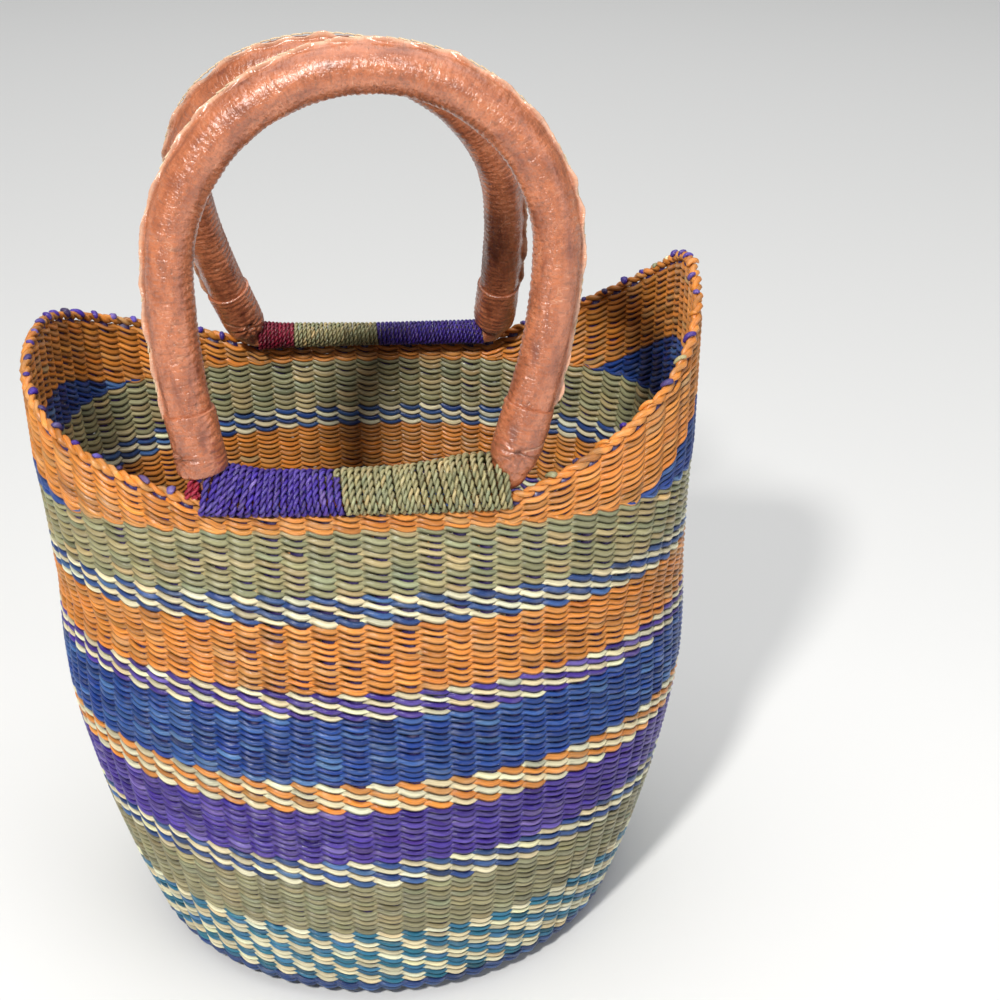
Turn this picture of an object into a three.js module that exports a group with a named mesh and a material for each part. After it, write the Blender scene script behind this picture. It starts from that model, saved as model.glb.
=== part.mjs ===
// A round-bellied market basket of twined grass, with a mouth that rises to a peak at each end
// and two leather-covered ring handles whose straight bars are bound to the rim with cord.
//
// Units are millimetres and Z is up. X runs from the low end of the mouth to the high end, Y runs
// from the front handle to the back handle, and the origin is the middle of the foot.

import * as THREE from 'three';

// Driving dimensions of the woven body

const bellyHalfLength = 131.8;
const bellyHalfDepth = 106.4;
const wallThickness = 5;
const seatGap = 0.3;

// The plan is an oval in the belly and squarer in the mouth: powers of the plan curve
const bellyPower = 2;
const mouthPower = 3;
const powerBlendStartShare = 0.731;

// The foot: a start disc, a flat that stands on the ground, and a round turn up to the wall
const startDiscRadius = 30;
const footFlatRadius = 82;
const footTurnHeight = 10.5;
const footTurnRadiusShares = [0.4, 0.75, 0.94];
const footTurnHeightShares = [0.06, 0.22, 0.5];

// Height of each colour band, from the foot up, measured at the wall
const footEdgeHeight = 0.5;
const footBandTop = footTurnHeight + footEdgeHeight;
const tealBandHeight = 29;
const khakiBandHeight = 25;
const lowerStripeHeight = 11.5;
const purpleBandHeight = 23.8;
const orangeCreamStripeHeight = 12.6;
const blueBandHeight = 27;
const creamPurpleStripeHeight = 9.9;
const orangeBandHeight = 25.4;
const upperStripeHeight = 10.8;
const oliveBandHeight = 25;
const oliveTop = footBandTop + tealBandHeight + khakiBandHeight + lowerStripeHeight + purpleBandHeight
  + orangeCreamStripeHeight + blueBandHeight + creamPurpleStripeHeight + orangeBandHeight
  + upperStripeHeight + oliveBandHeight;

// Ribs on both faces of the two lowest pieces, where the stakes show through: one for two stakes
const ribCount = 37;
const ribHeight = 1.4;

// The rim: a border rod of folded stake ends over a band that widens towards the two peaks
const borderRadius = 2.1;
const rimFrontHeight = 10;
const shoulderDrop = 2;
const borderHeight = oliveTop + rimFrontHeight;
const shoulderHeight = borderHeight - shoulderDrop;
const rightPeakRise = 59.5;
const leftPeakRise = 36.8;
const riseStartShare = 0.17;
const rightRimBandWidth = 37;
const leftRimBandWidth = 30;
const crescentTipHeight = 1.2;

// Outer wall from the turn of the foot to the shoulder, as shares of the shoulder's height and of
// the belly's half length and half depth
const wallHeightShares = [footTurnHeight / shoulderHeight, 0.16, 0.32, 0.525, 0.731, 0.849, 0.932, 0.977, 1];
const wallLengthShares = [0.815, 0.876, 0.945, 1, 0.994, 0.987, 0.985, 0.985, 0.986];
const wallDepthShares = [0.96, 0.985, 1, 0.989, 0.924, 0.851, 0.818, 0.806, 0.8039];

// Driving dimensions of the handles

const barRadius = 3.8;
const barHalfLength = 49.5;
const barCornerRadius = 4.8;
const barInset = 8;
const barRise = 4.2;
const handleHeight = 143.3;
const widestHeight = 79;
const coreRadius = 6.4;
const coreSwellLength = 10;
const leatherThickness = 1.4;
const leatherFit = 0.4;
const cuffStart = 8.4;
const cuffLength = 18;
const cuffThickness = 1.9;
const seamHeight = 3;
const seamHalfWidth = 0.8;
const threadRadius = 0.5;
const threadRise = 1.4;

const handles = {
  front: { side: -1, offset: -1.8, halfWidth: 65.3, sway: 9, leanDegrees: 4.3 },
  back: { side: 1, offset: 0, halfWidth: 62.9, sway: -11.7, leanDegrees: 23.6 },
};

// Driving dimensions of the bindings

const cordDiameter = 2.2;
const cordPitch = 2.8;
const cordClearance = 0.3;
const notchMargin = 1;
const notchSlopeLength = 3;

// Turns of each colour, in order from the low end of the mouth to the high end
const bindings = {
  front: [
    { colour: 'crimson', turns: 1 },
    { colour: 'purple', turns: 13 },
    { colour: 'olive', turns: 18 },
  ],
  back: [
    { colour: 'maroon', turns: 4 },
    { colour: 'olive', turns: 12 },
    { colour: 'purple', turns: 14 },
  ],
};

// Counts of facets

const planSteps = 36;
const borderSides = 6;
const coreSides = 8;
const leatherSides = 10;
const threadSides = 4;
const cordSides = 5;
const barArcSteps = 5;
const borderArcSteps = 3;
const cornerSteps = 3;
const legSteps = 4;
const crownSteps = 8;

// Colours

const colours = {
  teal: 0x5a9aa0, khaki: 0xafa57d, navy: 0x32508a, purple: 0x4b3296, orange: 0xeb963c, blue: 0x234b8c,
  cream: 0xebe1b9, olive: 0xa5a073, leather: 0xbe6e46, grass: 0xc8b478, thread: 0xe6c8aa,
  crimson: 0xa5193c, maroon: 0x6e1428, lilac: 0x8c78b4, straw: 0xe6c382, slate: 0x8ca0b9,
};

// Helpers

const fullTurn = 2 * Math.PI;
const group = new THREE.Group();

function addMesh(parent, name, geometry, colour, roughness) {
  const material = new THREE.MeshStandardMaterial({ color: colours[colour], roughness, metalness: 0 });
  const mesh = new THREE.Mesh(geometry, material);
  mesh.name = name;
  parent.add(mesh);
}

// A geometry from rows of points, joined row to row and round each row
function ringGrid(rows, closedAlong) {
  const count = rows[0].length;
  const positions = rows.flat().flatMap((point) => [point.x, point.y, point.z]);
  const indices = [];
  const joins = closedAlong ? rows.length : rows.length - 1;
  for (let i = 0; i < joins; i += 1) {
    const low = i * count;
    const high = ((i + 1) % rows.length) * count;
    for (let j = 0; j < count; j += 1) {
      const next = (j + 1) % count;
      indices.push(low + j, low + next, high + next);
      indices.push(low + j, high + next, high + j);
    }
  }
  const geometry = new THREE.BufferGeometry();
  geometry.setAttribute('position', new THREE.Float32BufferAttribute(positions, 3));
  geometry.setIndex(indices);
  return geometry;
}

// The same grid, with a fan of faces across each end row
function cappedGrid(rows) {
  const geometry = ringGrid(rows, false);
  const count = rows[0].length;
  const indices = Array.from(geometry.index.array);
  const last = (rows.length - 1) * count;
  for (let j = 1; j < count - 1; j += 1) {
    indices.push(0, j + 1, j);
    indices.push(last, last + j, last + j + 1);
  }
  geometry.setIndex(indices);
  return geometry;
}

// The value at a place in a smooth table, by cubic steps between its stations
function tableValue(places, values, place) {
  const last = places.length - 1;
  if (place >= places[last]) return values[last];
  let i = 0;
  while (i < last - 1 && place > places[i + 1]) i += 1;
  const span = places[i + 1] - places[i];
  const share = Math.max((place - places[i]) / span, 0);
  const slopeAt = (k) => {
    const before = Math.max(k - 1, 0);
    const after = Math.min(k + 1, last);
    return (values[after] - values[before]) / (places[after] - places[before]);
  };
  const square = share * share;
  const cube = square * share;
  const start = (2 * cube - 3 * square + 1) * values[i] + (cube - 2 * square + share) * span * slopeAt(i);
  const end = (3 * square - 2 * cube) * values[i + 1] + (cube - square) * span * slopeAt(i + 1);
  return start + end;
}

// The woven body

function planPower(height) {
  const start = powerBlendStartShare * shoulderHeight;
  const share = THREE.MathUtils.clamp((height - start) / (shoulderHeight - start), 0, 1);
  return bellyPower + (mouthPower - bellyPower) * share;
}

function planPoint(angle, halfLength, halfDepth, power, height) {
  const across = Math.abs(Math.cos(angle)) ** power + Math.abs(Math.sin(angle)) ** power;
  const factor = across ** (-1 / power);
  return new THREE.Vector3(
    halfLength * factor * Math.cos(angle),
    halfDepth * factor * Math.sin(angle),
    height,
  );
}

// A point of the wall: depthIn is 0 on the outside and the wall's thickness on the inside
function wallPoint(angle, height, depthIn) {
  const place = height / shoulderHeight;
  const halfLength = bellyHalfLength * tableValue(wallHeightShares, wallLengthShares, place);
  const halfDepth = bellyHalfDepth * tableValue(wallHeightShares, wallDepthShares, place);
  return planPoint(angle, halfLength - depthIn, halfDepth - depthIn, planPower(height), height);
}

// Rise of the rim above its height at the handles
function rimRise(angle) {
  const along = Math.cos(angle) ** 2;
  const share = Math.max((along - riseStartShare) / (1 - riseStartShare), 0);
  return share * (Math.cos(angle) > 0 ? rightPeakRise : leftPeakRise);
}

function borderPoint(angle) {
  return wallPoint(angle, borderHeight + rimRise(angle), wallThickness / 2);
}

function anglesRound(count) {
  return Array.from({ length: count }, (_, i) => (i / count) * fullTurn);
}
const evenAngles = anglesRound(planSteps);

// Angles of the ribs and of the grooves between them, by turns, and how deep each of them lies
const ribAngles = anglesRound(2 * ribCount);
function ribDepthIn(index) {
  return index % 2 === 0 ? 0 : ribHeight;
}

// A ring of wall between a lower and an upper edge, each a function of the angle
function wallRing(angles, lowerEdge, upperEdge, steps, depthInAt = () => 0) {
  const rows = angles.map((angle, index) => {
    const low = lowerEdge(angle);
    const high = upperEdge(angle);
    const depthIn = depthInAt(index);
    const outer = [];
    const inner = [];
    for (let i = 0; i <= steps; i += 1) {
      const height = low + ((high - low) * i) / steps;
      outer.push(wallPoint(angle, height, depthIn));
      inner.push(wallPoint(angle, height, wallThickness - depthIn));
    }
    return [...inner, ...outer.reverse()];
  });
  return ringGrid(rows, true);
}

// Profile of the foot, outside and inside, from the start disc out and up to the wall
const turnHalfLength = bellyHalfLength * wallLengthShares[0];
const turnHalfDepth = bellyHalfDepth * wallDepthShares[0];
const footOvalShare = turnHalfDepth / turnHalfLength;

function footPoint(angle, radius, height) {
  return new THREE.Vector3(radius * Math.cos(angle), footOvalShare * radius * Math.sin(angle), height);
}

function startDisc() {
  const rows = evenAngles.map((angle) => (
    [0, wallThickness].map((height) => footPoint(angle, startDiscRadius, height))
  ));
  const positions = rows.flat().flatMap((point) => [point.x, point.y, point.z]);
  const bottom = planSteps * 2;
  const top = bottom + 1;
  positions.push(0, 0, 0, 0, 0, wallThickness);
  const indices = [];
  for (let i = 0; i < planSteps; i += 1) {
    const next = (i + 1) % planSteps;
    indices.push(2 * i, 2 * next, 2 * next + 1, 2 * i, 2 * next + 1, 2 * i + 1);
    indices.push(bottom, 2 * next, 2 * i, top, 2 * i + 1, 2 * next + 1);
  }
  const geometry = new THREE.BufferGeometry();
  geometry.setAttribute('position', new THREE.Float32BufferAttribute(positions, 3));
  geometry.setIndex(indices);
  return geometry;
}

function footRing() {
  const innerRadius = startDiscRadius + seatGap;
  const turnWidth = turnHalfLength - footFlatRadius;
  const insideTurn = turnHalfLength - wallThickness - footFlatRadius;
  const insideRise = footTurnHeight - wallThickness;
  const rows = ribAngles.map((angle, index) => {
    const flatRadii = [innerRadius, footFlatRadius];
    const outside = flatRadii.map((radius) => footPoint(angle, radius, 0));
    const inside = flatRadii.map((radius) => footPoint(angle, radius, wallThickness));
    footTurnRadiusShares.forEach((radiusShare, i) => {
      const heightShare = footTurnHeightShares[i];
      outside.push(footPoint(angle, footFlatRadius + turnWidth * radiusShare, footTurnHeight * heightShare));
      const insideHeight = wallThickness + insideRise * heightShare;
      inside.push(footPoint(angle, footFlatRadius + insideTurn * radiusShare, insideHeight));
    });
    [footTurnHeight, footBandTop].forEach((height) => {
      outside.push(wallPoint(angle, height, 0));
      inside.push(wallPoint(angle, height, wallThickness));
    });
    const depthShare = ribDepthIn(index) / wallThickness;
    const outer = outside.map((point, i) => point.clone().lerp(inside[i], depthShare));
    const inner = inside.map((point, i) => point.clone().lerp(outside[i], depthShare));
    return [...inner, ...outer.reverse()];
  });
  return ringGrid(rows, true);
}

// Level bands, stacked from the foot up. steps is how many facets a band has up its height.
const levelBands = [
  { name: 'band_teal_cream', height: tealBandHeight, colour: 'teal', steps: 3, ribbed: true },
  { name: 'band_khaki', height: khakiBandHeight, colour: 'khaki', steps: 1 },
  { name: 'stripe_cream_navy_lower', height: lowerStripeHeight, colour: 'slate', steps: 1 },
  { name: 'band_purple', height: purpleBandHeight, colour: 'purple', steps: 1 },
  { name: 'stripe_orange_cream', height: orangeCreamStripeHeight, colour: 'straw', steps: 1 },
  { name: 'band_blue', height: blueBandHeight, colour: 'blue', steps: 1 },
  { name: 'stripe_cream_purple', height: creamPurpleStripeHeight, colour: 'lilac', steps: 1 },
  { name: 'band_orange', height: orangeBandHeight, colour: 'orange', steps: 2 },
  { name: 'stripe_cream_navy_upper', height: upperStripeHeight, colour: 'slate', steps: 1 },
  { name: 'band_olive', height: oliveBandHeight, colour: 'olive', steps: 2 },
];

const strawRoughness = 0.6;
addMesh(group, 'base_start_disc', startDisc(), 'purple', strawRoughness);
addMesh(group, 'base_navy_rows', footRing(), 'navy', strawRoughness);

let bandBottom = footBandTop;
levelBands.forEach((band) => {
  const low = bandBottom + seatGap;
  const high = bandBottom + band.height;
  const ring = band.ribbed
    ? wallRing(ribAngles, () => low, () => high, band.steps, ribDepthIn)
    : wallRing(evenAngles, () => low, () => high, band.steps);
  addMesh(group, band.name, ring, band.colour, strawRoughness);
  bandBottom = high;
});

// The rim

const mouthHalfLength = bellyHalfLength * wallLengthShares.at(-1);
const mouthHalfDepth = bellyHalfDepth * wallDepthShares.at(-1);
const borderHalfLength = mouthHalfLength - wallThickness / 2;
const borderHalfDepth = mouthHalfDepth - wallThickness / 2;

// How far a binding's turns reach past the axis of the rod that they go round
function loopRadius(rodRadius, arcAngle, steps) {
  return (rodRadius + cordClearance + cordDiameter / 2) / Math.cos(arcAngle / steps / 2);
}

const barY = borderHalfDepth - barInset;
const barZ = borderHeight + barRise;
const rodDistance = Math.hypot(barInset, barRise);
const contactAngle = Math.acos((borderRadius - barRadius) / rodDistance);
const barLoopRadius = loopRadius(barRadius, 2 * contactAngle, barArcSteps);
const borderLoopRadius = loopRadius(borderRadius, fullTurn - 2 * contactAngle, borderArcSteps);
const notchDrop = borderLoopRadius + cordDiameter / 2 - borderRadius;

// Length of a binding, turns and the steps between colours together
function bindingLength(runs) {
  const turns = runs.reduce((sum, run) => sum + run.turns, 0);
  return (turns + runs.length - 1) * cordPitch + cordDiameter;
}
const notchHalfLength = notchMargin + Math.max(...Object.entries(bindings).map(([place, runs]) => (
  bindingLength(runs) / 2 + Math.abs(handles[place].offset)
)));

// The wall's top edge lies under the border rod, and lower where the bindings pass beneath the rod
function wallTop(angle) {
  const x = Math.abs(borderPoint(angle).x);
  const inNotch = THREE.MathUtils.clamp((notchHalfLength + notchSlopeLength - x) / notchSlopeLength, 0, 1);
  return borderHeight + rimRise(angle) - borderRadius - seatGap - notchDrop * inNotch;
}

// The plan angle at which the rim reaches a distance along X, in the quarter by the high end
function angleAtX(x) {
  const lengthShare = x / borderHalfLength;
  const depthShare = (1 - lengthShare ** mouthPower) ** (1 / mouthPower);
  return Math.atan2(depthShare, lengthShare);
}

const notchAngles = [notchHalfLength, notchHalfLength + notchSlopeLength].map(angleAtX);
const riseStartAngle = Math.acos(Math.sqrt(riseStartShare));
const rimBreakAngles = [...notchAngles, riseStartAngle].flatMap((angle) => (
  [angle, Math.PI - angle, Math.PI + angle, fullTurn - angle]
));
const clearStep = fullTurn / planSteps / 4;
const rimAngles = evenAngles
  .filter((angle) => rimBreakAngles.every((other) => Math.abs(angle - other) > clearStep))
  .concat(rimBreakAngles)
  .sort((a, b) => a - b);

// Lower edge of the orange rim band: the olive band, or the crescent where the rim is high
function crescentTop(angle) {
  const width = Math.cos(angle) > 0 ? rightRimBandWidth : leftRimBandWidth;
  const rimTop = borderHeight + rimRise(angle) + borderRadius;
  return Math.max(rimTop - width, oliveTop);
}

// The angle from the peak at which a crescent has thinned to its tip
function crescentHalfAngle(peakRise, width) {
  const riseAtTip = oliveTop + crescentTipHeight + width - borderHeight - borderRadius;
  const along = riseStartShare + (1 - riseStartShare) * (riseAtTip / peakRise);
  return Math.acos(Math.sqrt(along));
}

const crescents = [
  { name: 'crescent_navy_right', middle: 0, half: crescentHalfAngle(rightPeakRise, rightRimBandWidth) },
  { name: 'crescent_navy_left', middle: Math.PI, half: crescentHalfAngle(leftPeakRise, leftRimBandWidth) },
];
const crescentSteps = 12;

function crescentSolid(middle, half) {
  const rows = [];
  for (let i = 0; i <= crescentSteps; i += 1) {
    const angle = middle + half * (2 * (i / crescentSteps) - 1);
    const low = oliveTop + seatGap;
    const high = crescentTop(angle);
    rows.push([
      wallPoint(angle, low, wallThickness), wallPoint(angle, high, wallThickness),
      wallPoint(angle, high, 0), wallPoint(angle, low, 0),
    ]);
  }
  return cappedGrid(rows);
}

crescents.forEach((crescent) => {
  addMesh(group, crescent.name, crescentSolid(crescent.middle, crescent.half), 'navy', strawRoughness);
});

// Stations of the rim band also stand at every station of the crescents below it
const crescentAngles = crescents.flatMap((crescent) => (
  Array.from({ length: crescentSteps + 1 }, (_, i) => (
    (crescent.middle + crescent.half * (2 * (i / crescentSteps) - 1) + fullTurn) % fullTurn
  ))
));
const outsideCrescents = rimAngles.filter((angle) => crescents.every((crescent) => (
  Math.cos(angle - crescent.middle) < Math.cos(crescent.half + clearStep)
)));
const bandAngles = outsideCrescents.concat(crescentAngles).sort((a, b) => a - b);

function rimBandBottom(angle) {
  return crescentTop(angle) + seatGap;
}

addMesh(group, 'rim_band_orange', wallRing(bandAngles, rimBandBottom, wallTop, 2), 'orange', strawRoughness);

// A round rod along a level or climbing closed curve
function closedRod(points, radius, sides) {
  const count = points.length;
  const up = new THREE.Vector3(0, 0, 1);
  const rows = points.map((point, i) => {
    const ahead = points[(i + 1) % count];
    const behind = points[(i + count - 1) % count];
    const along = ahead.clone().sub(behind).normalize();
    const outward = along.clone().cross(up).normalize();
    const drop = along.clone().cross(outward);
    return Array.from({ length: sides }, (_, j) => {
      const turn = (j / sides) * fullTurn;
      return point.clone()
        .addScaledVector(outward, radius * Math.cos(turn))
        .addScaledVector(drop, radius * Math.sin(turn));
    });
  });
  return ringGrid(rows, true);
}

const borderRod = closedRod(rimAngles.map(borderPoint), borderRadius, borderSides);
addMesh(group, 'rim_border', borderRod, 'orange', strawRoughness);

// The handles, each drawn upright in its own group: X along the bar, Z up the ring

function legX(handle, height) {
  const share = (height - barCornerRadius) / (widestHeight - barCornerRadius);
  const foot = barHalfLength + barCornerRadius;
  return foot + (handle.halfWidth - foot) * Math.sin(share * (Math.PI / 2));
}

function swayed(handle, x, height) {
  return new THREE.Vector3(x + handle.sway * (height / handleHeight), 0, height);
}

// Points of the right half of the ring above a height, from that height up to the crown
function rightHalf(handle, startHeight) {
  const points = [];
  for (let i = 0; i < legSteps; i += 1) {
    const height = startHeight + ((widestHeight - startHeight) * i) / legSteps;
    points.push([legX(handle, height), height]);
  }
  for (let i = 0; i <= crownSteps; i += 1) {
    const turn = (i / crownSteps) * (Math.PI / 2);
    const height = widestHeight + (handleHeight - widestHeight) * Math.sin(turn);
    points.push([handle.halfWidth * Math.cos(turn), height]);
  }
  return points;
}

function mirrored(points) {
  return points.slice(0, -1).reverse().map(([x, height]) => [-x, height]);
}

function ringPoints(handle, startHeight) {
  const right = rightHalf(handle, startHeight);
  return [...right, ...mirrored(right)].map(([x, height]) => swayed(handle, x, height));
}

// Sections swept along a curve in the XZ plane: u points away from the ring's middle, v along Y
function sweepSections(points, closed, sectionAt) {
  const count = points.length;
  return points.map((point, i) => {
    const ahead = closed ? points[(i + 1) % count] : points[Math.min(i + 1, count - 1)];
    const behind = closed ? points[(i + count - 1) % count] : points[Math.max(i - 1, 0)];
    const along = ahead.clone().sub(behind).normalize();
    const outward = new THREE.Vector3(along.z, 0, -along.x);
    return sectionAt(i, point).map(([u, v]) => {
      const vertex = point.clone().addScaledVector(outward, u);
      vertex.y += v;
      return vertex;
    });
  });
}

function circleSection(radius, sides) {
  return Array.from({ length: sides }, (_, j) => {
    const turn = ((j + 0.5) / sides) * fullTurn;
    return [radius * Math.cos(turn), radius * Math.sin(turn)];
  });
}

// The core swells from the bar's size to the grip's size over the lower end of each leg
function coreRadiusAt(height) {
  const share = THREE.MathUtils.clamp((height - barCornerRadius) / coreSwellLength, 0, 1);
  return barRadius + (coreRadius - barRadius) * share;
}

function gripCore(handle) {
  const corner = [];
  for (let i = 0; i < cornerSteps; i += 1) {
    const turn = (i / cornerSteps) * (Math.PI / 2);
    const x = barHalfLength + barCornerRadius * Math.sin(turn);
    corner.push([x, barCornerRadius * (1 - Math.cos(turn))]);
  }
  const swellTop = barCornerRadius + coreSwellLength;
  const right = [...corner, [legX(handle, barCornerRadius), barCornerRadius], ...rightHalf(handle, swellTop)];
  const outline = [...right, ...mirrored(right)];
  const points = outline.map(([x, height]) => swayed(handle, x, height));
  const rows = sweepSections(points, true, (i) => circleSection(coreRadiusAt(outline[i][1]), coreSides));
  return ringGrid(rows, true);
}

const boreRadius = coreRadius + leatherFit;
const leatherRadius = boreRadius + leatherThickness;

// A tube swept along the points, with a flat face between skin and bore at each end
function tubeShell(points, outerSection, innerSection) {
  const outerRows = sweepSections(points, false, () => outerSection);
  const innerRows = sweepSections(points, false, () => innerSection);
  const outerCount = outerSection.length;
  const innerCount = innerSection.length;
  const innerStart = points.length * outerCount;
  const positions = [...outerRows.flat(), ...innerRows.flat()].flatMap((point) => [point.x, point.y, point.z]);
  const indices = [];
  const addSkin = (start, count, facesInwards) => {
    for (let i = 0; i < points.length - 1; i += 1) {
      for (let j = 0; j < count; j += 1) {
        const a = start + i * count + j;
        const b = start + i * count + ((j + 1) % count);
        const c = b + count;
        const d = a + count;
        if (facesInwards) indices.push(a, c, b, a, d, c);
        else indices.push(a, b, c, a, c, d);
      }
    }
  };
  addSkin(0, outerCount, false);
  addSkin(innerStart, innerCount, true);
  const toVectors = (section) => section.map(([u, v]) => new THREE.Vector2(u, v));
  const endFaces = THREE.ShapeUtils.triangulateShape(toVectors(outerSection), [toVectors(innerSection)]);
  const lastRow = points.length - 1;
  const vertexAt = (row, k) => (
    k < outerCount ? row * outerCount + k : innerStart + row * innerCount + k - outerCount
  );
  endFaces.forEach(([a, b, c]) => {
    indices.push(vertexAt(0, a), vertexAt(0, c), vertexAt(0, b));
    indices.push(vertexAt(lastRow, a), vertexAt(lastRow, b), vertexAt(lastRow, c));
  });
  const geometry = new THREE.BufferGeometry();
  geometry.setAttribute('position', new THREE.Float32BufferAttribute(positions, 3));
  geometry.setIndex(indices);
  return geometry;
}

// The leather's outer skin is a circle with the two cut edges standing up as a seam on its outside
function leatherSection() {
  const foot = Math.asin(seamHalfWidth / leatherRadius);
  const section = [];
  for (let j = 0; j <= leatherSides; j += 1) {
    const turn = foot + (j / leatherSides) * (fullTurn - 2 * foot);
    section.push([leatherRadius * Math.cos(turn), leatherRadius * Math.sin(turn)]);
  }
  const tip = leatherRadius + seamHeight;
  section.push([tip, -seamHalfWidth], [tip, seamHalfWidth]);
  return section;
}

function leatherCover(handle) {
  const points = ringPoints(handle, cuffStart + cuffLength + seatGap);
  return tubeShell(points, leatherSection(), circleSection(boreRadius, coreSides));
}

// A cuff wraps the lower end of one leg: side is 1 for the high end of the mouth
function cuff(handle, side) {
  const points = [];
  const cuffSteps = 2;
  for (let i = 0; i <= cuffSteps; i += 1) {
    const height = cuffStart + (cuffLength * (side > 0 ? i : cuffSteps - i)) / cuffSteps;
    points.push(swayed(handle, side * legX(handle, height), height));
  }
  const skin = circleSection(boreRadius + cuffThickness, leatherSides);
  return tubeShell(points, skin, circleSection(boreRadius, coreSides));
}

function seamThread(handle) {
  const points = ringPoints(handle, cuffStart + cuffLength + seamHeight);
  const away = leatherRadius + threadRise;
  const aside = seamHalfWidth + seatGap + threadRadius;
  const section = circleSection(threadRadius, threadSides).map(([u, v]) => [u + away, v + aside]);
  return cappedGrid(sweepSections(points, false, () => section));
}

const leatherRoughness = 0.4;
Object.entries(handles).forEach(([place, handle]) => {
  const ring = new THREE.Group();
  ring.position.set(handle.offset, handle.side * barY, barZ);
  ring.rotation.x = handle.side * THREE.MathUtils.degToRad(handle.leanDegrees);
  addMesh(ring, `${place}_grip_core`, gripCore(handle), 'grass', strawRoughness);
  addMesh(ring, `${place}_leather_cover`, leatherCover(handle), 'leather', leatherRoughness);
  addMesh(ring, `${place}_cuff_left`, cuff(handle, -1), 'leather', leatherRoughness);
  addMesh(ring, `${place}_cuff_right`, cuff(handle, 1), 'leather', leatherRoughness);
  addMesh(ring, `${place}_seam_thread`, seamThread(handle), 'thread', strawRoughness);
  group.add(ring);
});

// The bindings: each colour is one unbroken cord wound round the bar and the border rod together

// One turn of a binding in the plane across the bar at x, as points and shares of its length
function turnPoints(side, x) {
  const borderY = borderHalfDepth * (1 - (Math.abs(x) / borderHalfLength) ** mouthPower) ** (1 / mouthPower);
  const bar = new THREE.Vector2(barY, barZ);
  const border = new THREE.Vector2(borderY, borderHeight);
  const heading = Math.atan2(bar.y - border.y, bar.x - border.x);
  const arcPoints = (centre, radius, from, sweep, steps) => (
    Array.from({ length: steps + 1 }, (_, i) => {
      const turn = heading + from + (sweep * i) / steps;
      return new THREE.Vector2(centre.x + radius * Math.cos(turn), centre.y + radius * Math.sin(turn));
    })
  );
  const overBar = arcPoints(bar, barLoopRadius, -contactAngle, 2 * contactAngle, barArcSteps);
  const underSweep = fullTurn - 2 * contactAngle;
  const underBorder = arcPoints(border, borderLoopRadius, contactAngle, underSweep, borderArcSteps);
  const loop = [...overBar, ...underBorder];
  return loop.map((point) => new THREE.Vector3(x, side * point.x, point.y));
}

function windingPath(side, startX, turns) {
  const pointsPerTurn = barArcSteps + borderArcSteps + 2;
  const path = [];
  const tangentMiddle = (loop) => loop[0].clone().add(loop[pointsPerTurn - 1]).multiplyScalar(0.5);
  path.push(tangentMiddle(turnPoints(side, startX)));
  for (let i = 0; i < turns * pointsPerTurn; i += 1) {
    const x = startX + (cordPitch * (i + 0.5)) / pointsPerTurn;
    path.push(turnPoints(side, x)[i % pointsPerTurn]);
  }
  path.push(tangentMiddle(turnPoints(side, startX + cordPitch * turns)));
  return { path, pointsPerTurn };
}

// A cord of even thickness along a path, its section carried along without twist
function cordAlong(path) {
  const count = path.length;
  let normal = null;
  const rows = path.map((point, i) => {
    const into = point.clone().sub(path[Math.max(i - 1, 0)]).normalize();
    const outOf = path[Math.min(i + 1, count - 1)].clone().sub(point).normalize();
    const along = into.clone().add(outOf).normalize();
    if (normal === null) normal = new THREE.Vector3(1, 0, 0);
    normal.addScaledVector(along, -normal.dot(along)).normalize();
    const side = along.clone().cross(normal);
    return Array.from({ length: cordSides }, (_, j) => {
      const turn = (j / cordSides) * fullTurn;
      return point.clone()
        .addScaledVector(normal, (cordDiameter / 2) * Math.cos(turn))
        .addScaledVector(side, (cordDiameter / 2) * Math.sin(turn));
    });
  });
  return cappedGrid(rows);
}

// Least gap between one turn and another, from the path's points half a turn or more apart
function leastGap(path, pointsPerTurn) {
  let least = Infinity;
  path.forEach((point, i) => {
    for (let j = i + pointsPerTurn / 2; j < path.length; j += 1) {
      least = Math.min(least, point.distanceTo(path[j]) - cordDiameter);
    }
  });
  return least;
}

Object.entries(bindings).forEach(([place, runs]) => {
  let startX = (cordDiameter - bindingLength(runs)) / 2 + handles[place].offset;
  runs.forEach((run) => {
    const name = `${place}_binding_${run.colour}`;
    const { path, pointsPerTurn } = windingPath(handles[place].side, startX, run.turns);
    addMesh(group, name, cordAlong(path), run.colour, strawRoughness);
    console.log(`${name}: least gap between turns ${leastGap(path, pointsPerTurn).toFixed(2)} mm`);
    startX += (run.turns + 1) * cordPitch;
  });
});

export default group;
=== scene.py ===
"""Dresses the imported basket: twined straw wall, plaited rim, wound bindings and leather-covered handles."""

import math

import bpy
import numpy as np
from mathutils import Matrix, Vector, noise


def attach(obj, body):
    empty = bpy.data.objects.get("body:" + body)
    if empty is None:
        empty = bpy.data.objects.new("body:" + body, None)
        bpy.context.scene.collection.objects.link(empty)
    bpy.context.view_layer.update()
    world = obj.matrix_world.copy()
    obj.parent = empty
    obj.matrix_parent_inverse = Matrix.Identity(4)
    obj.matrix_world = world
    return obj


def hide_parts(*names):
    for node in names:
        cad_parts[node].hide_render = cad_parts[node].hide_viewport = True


bl_info = {
    "name": "Twined Market Basket",
    "version": (1, 0, 0),
    "blender": (4, 5, 0),
    "location": "View3D > Sidebar > Basket",
    "description": "Twined straw, plaited rim, wound bindings and leather handles for a market basket",
    "category": "Object",
}

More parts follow.
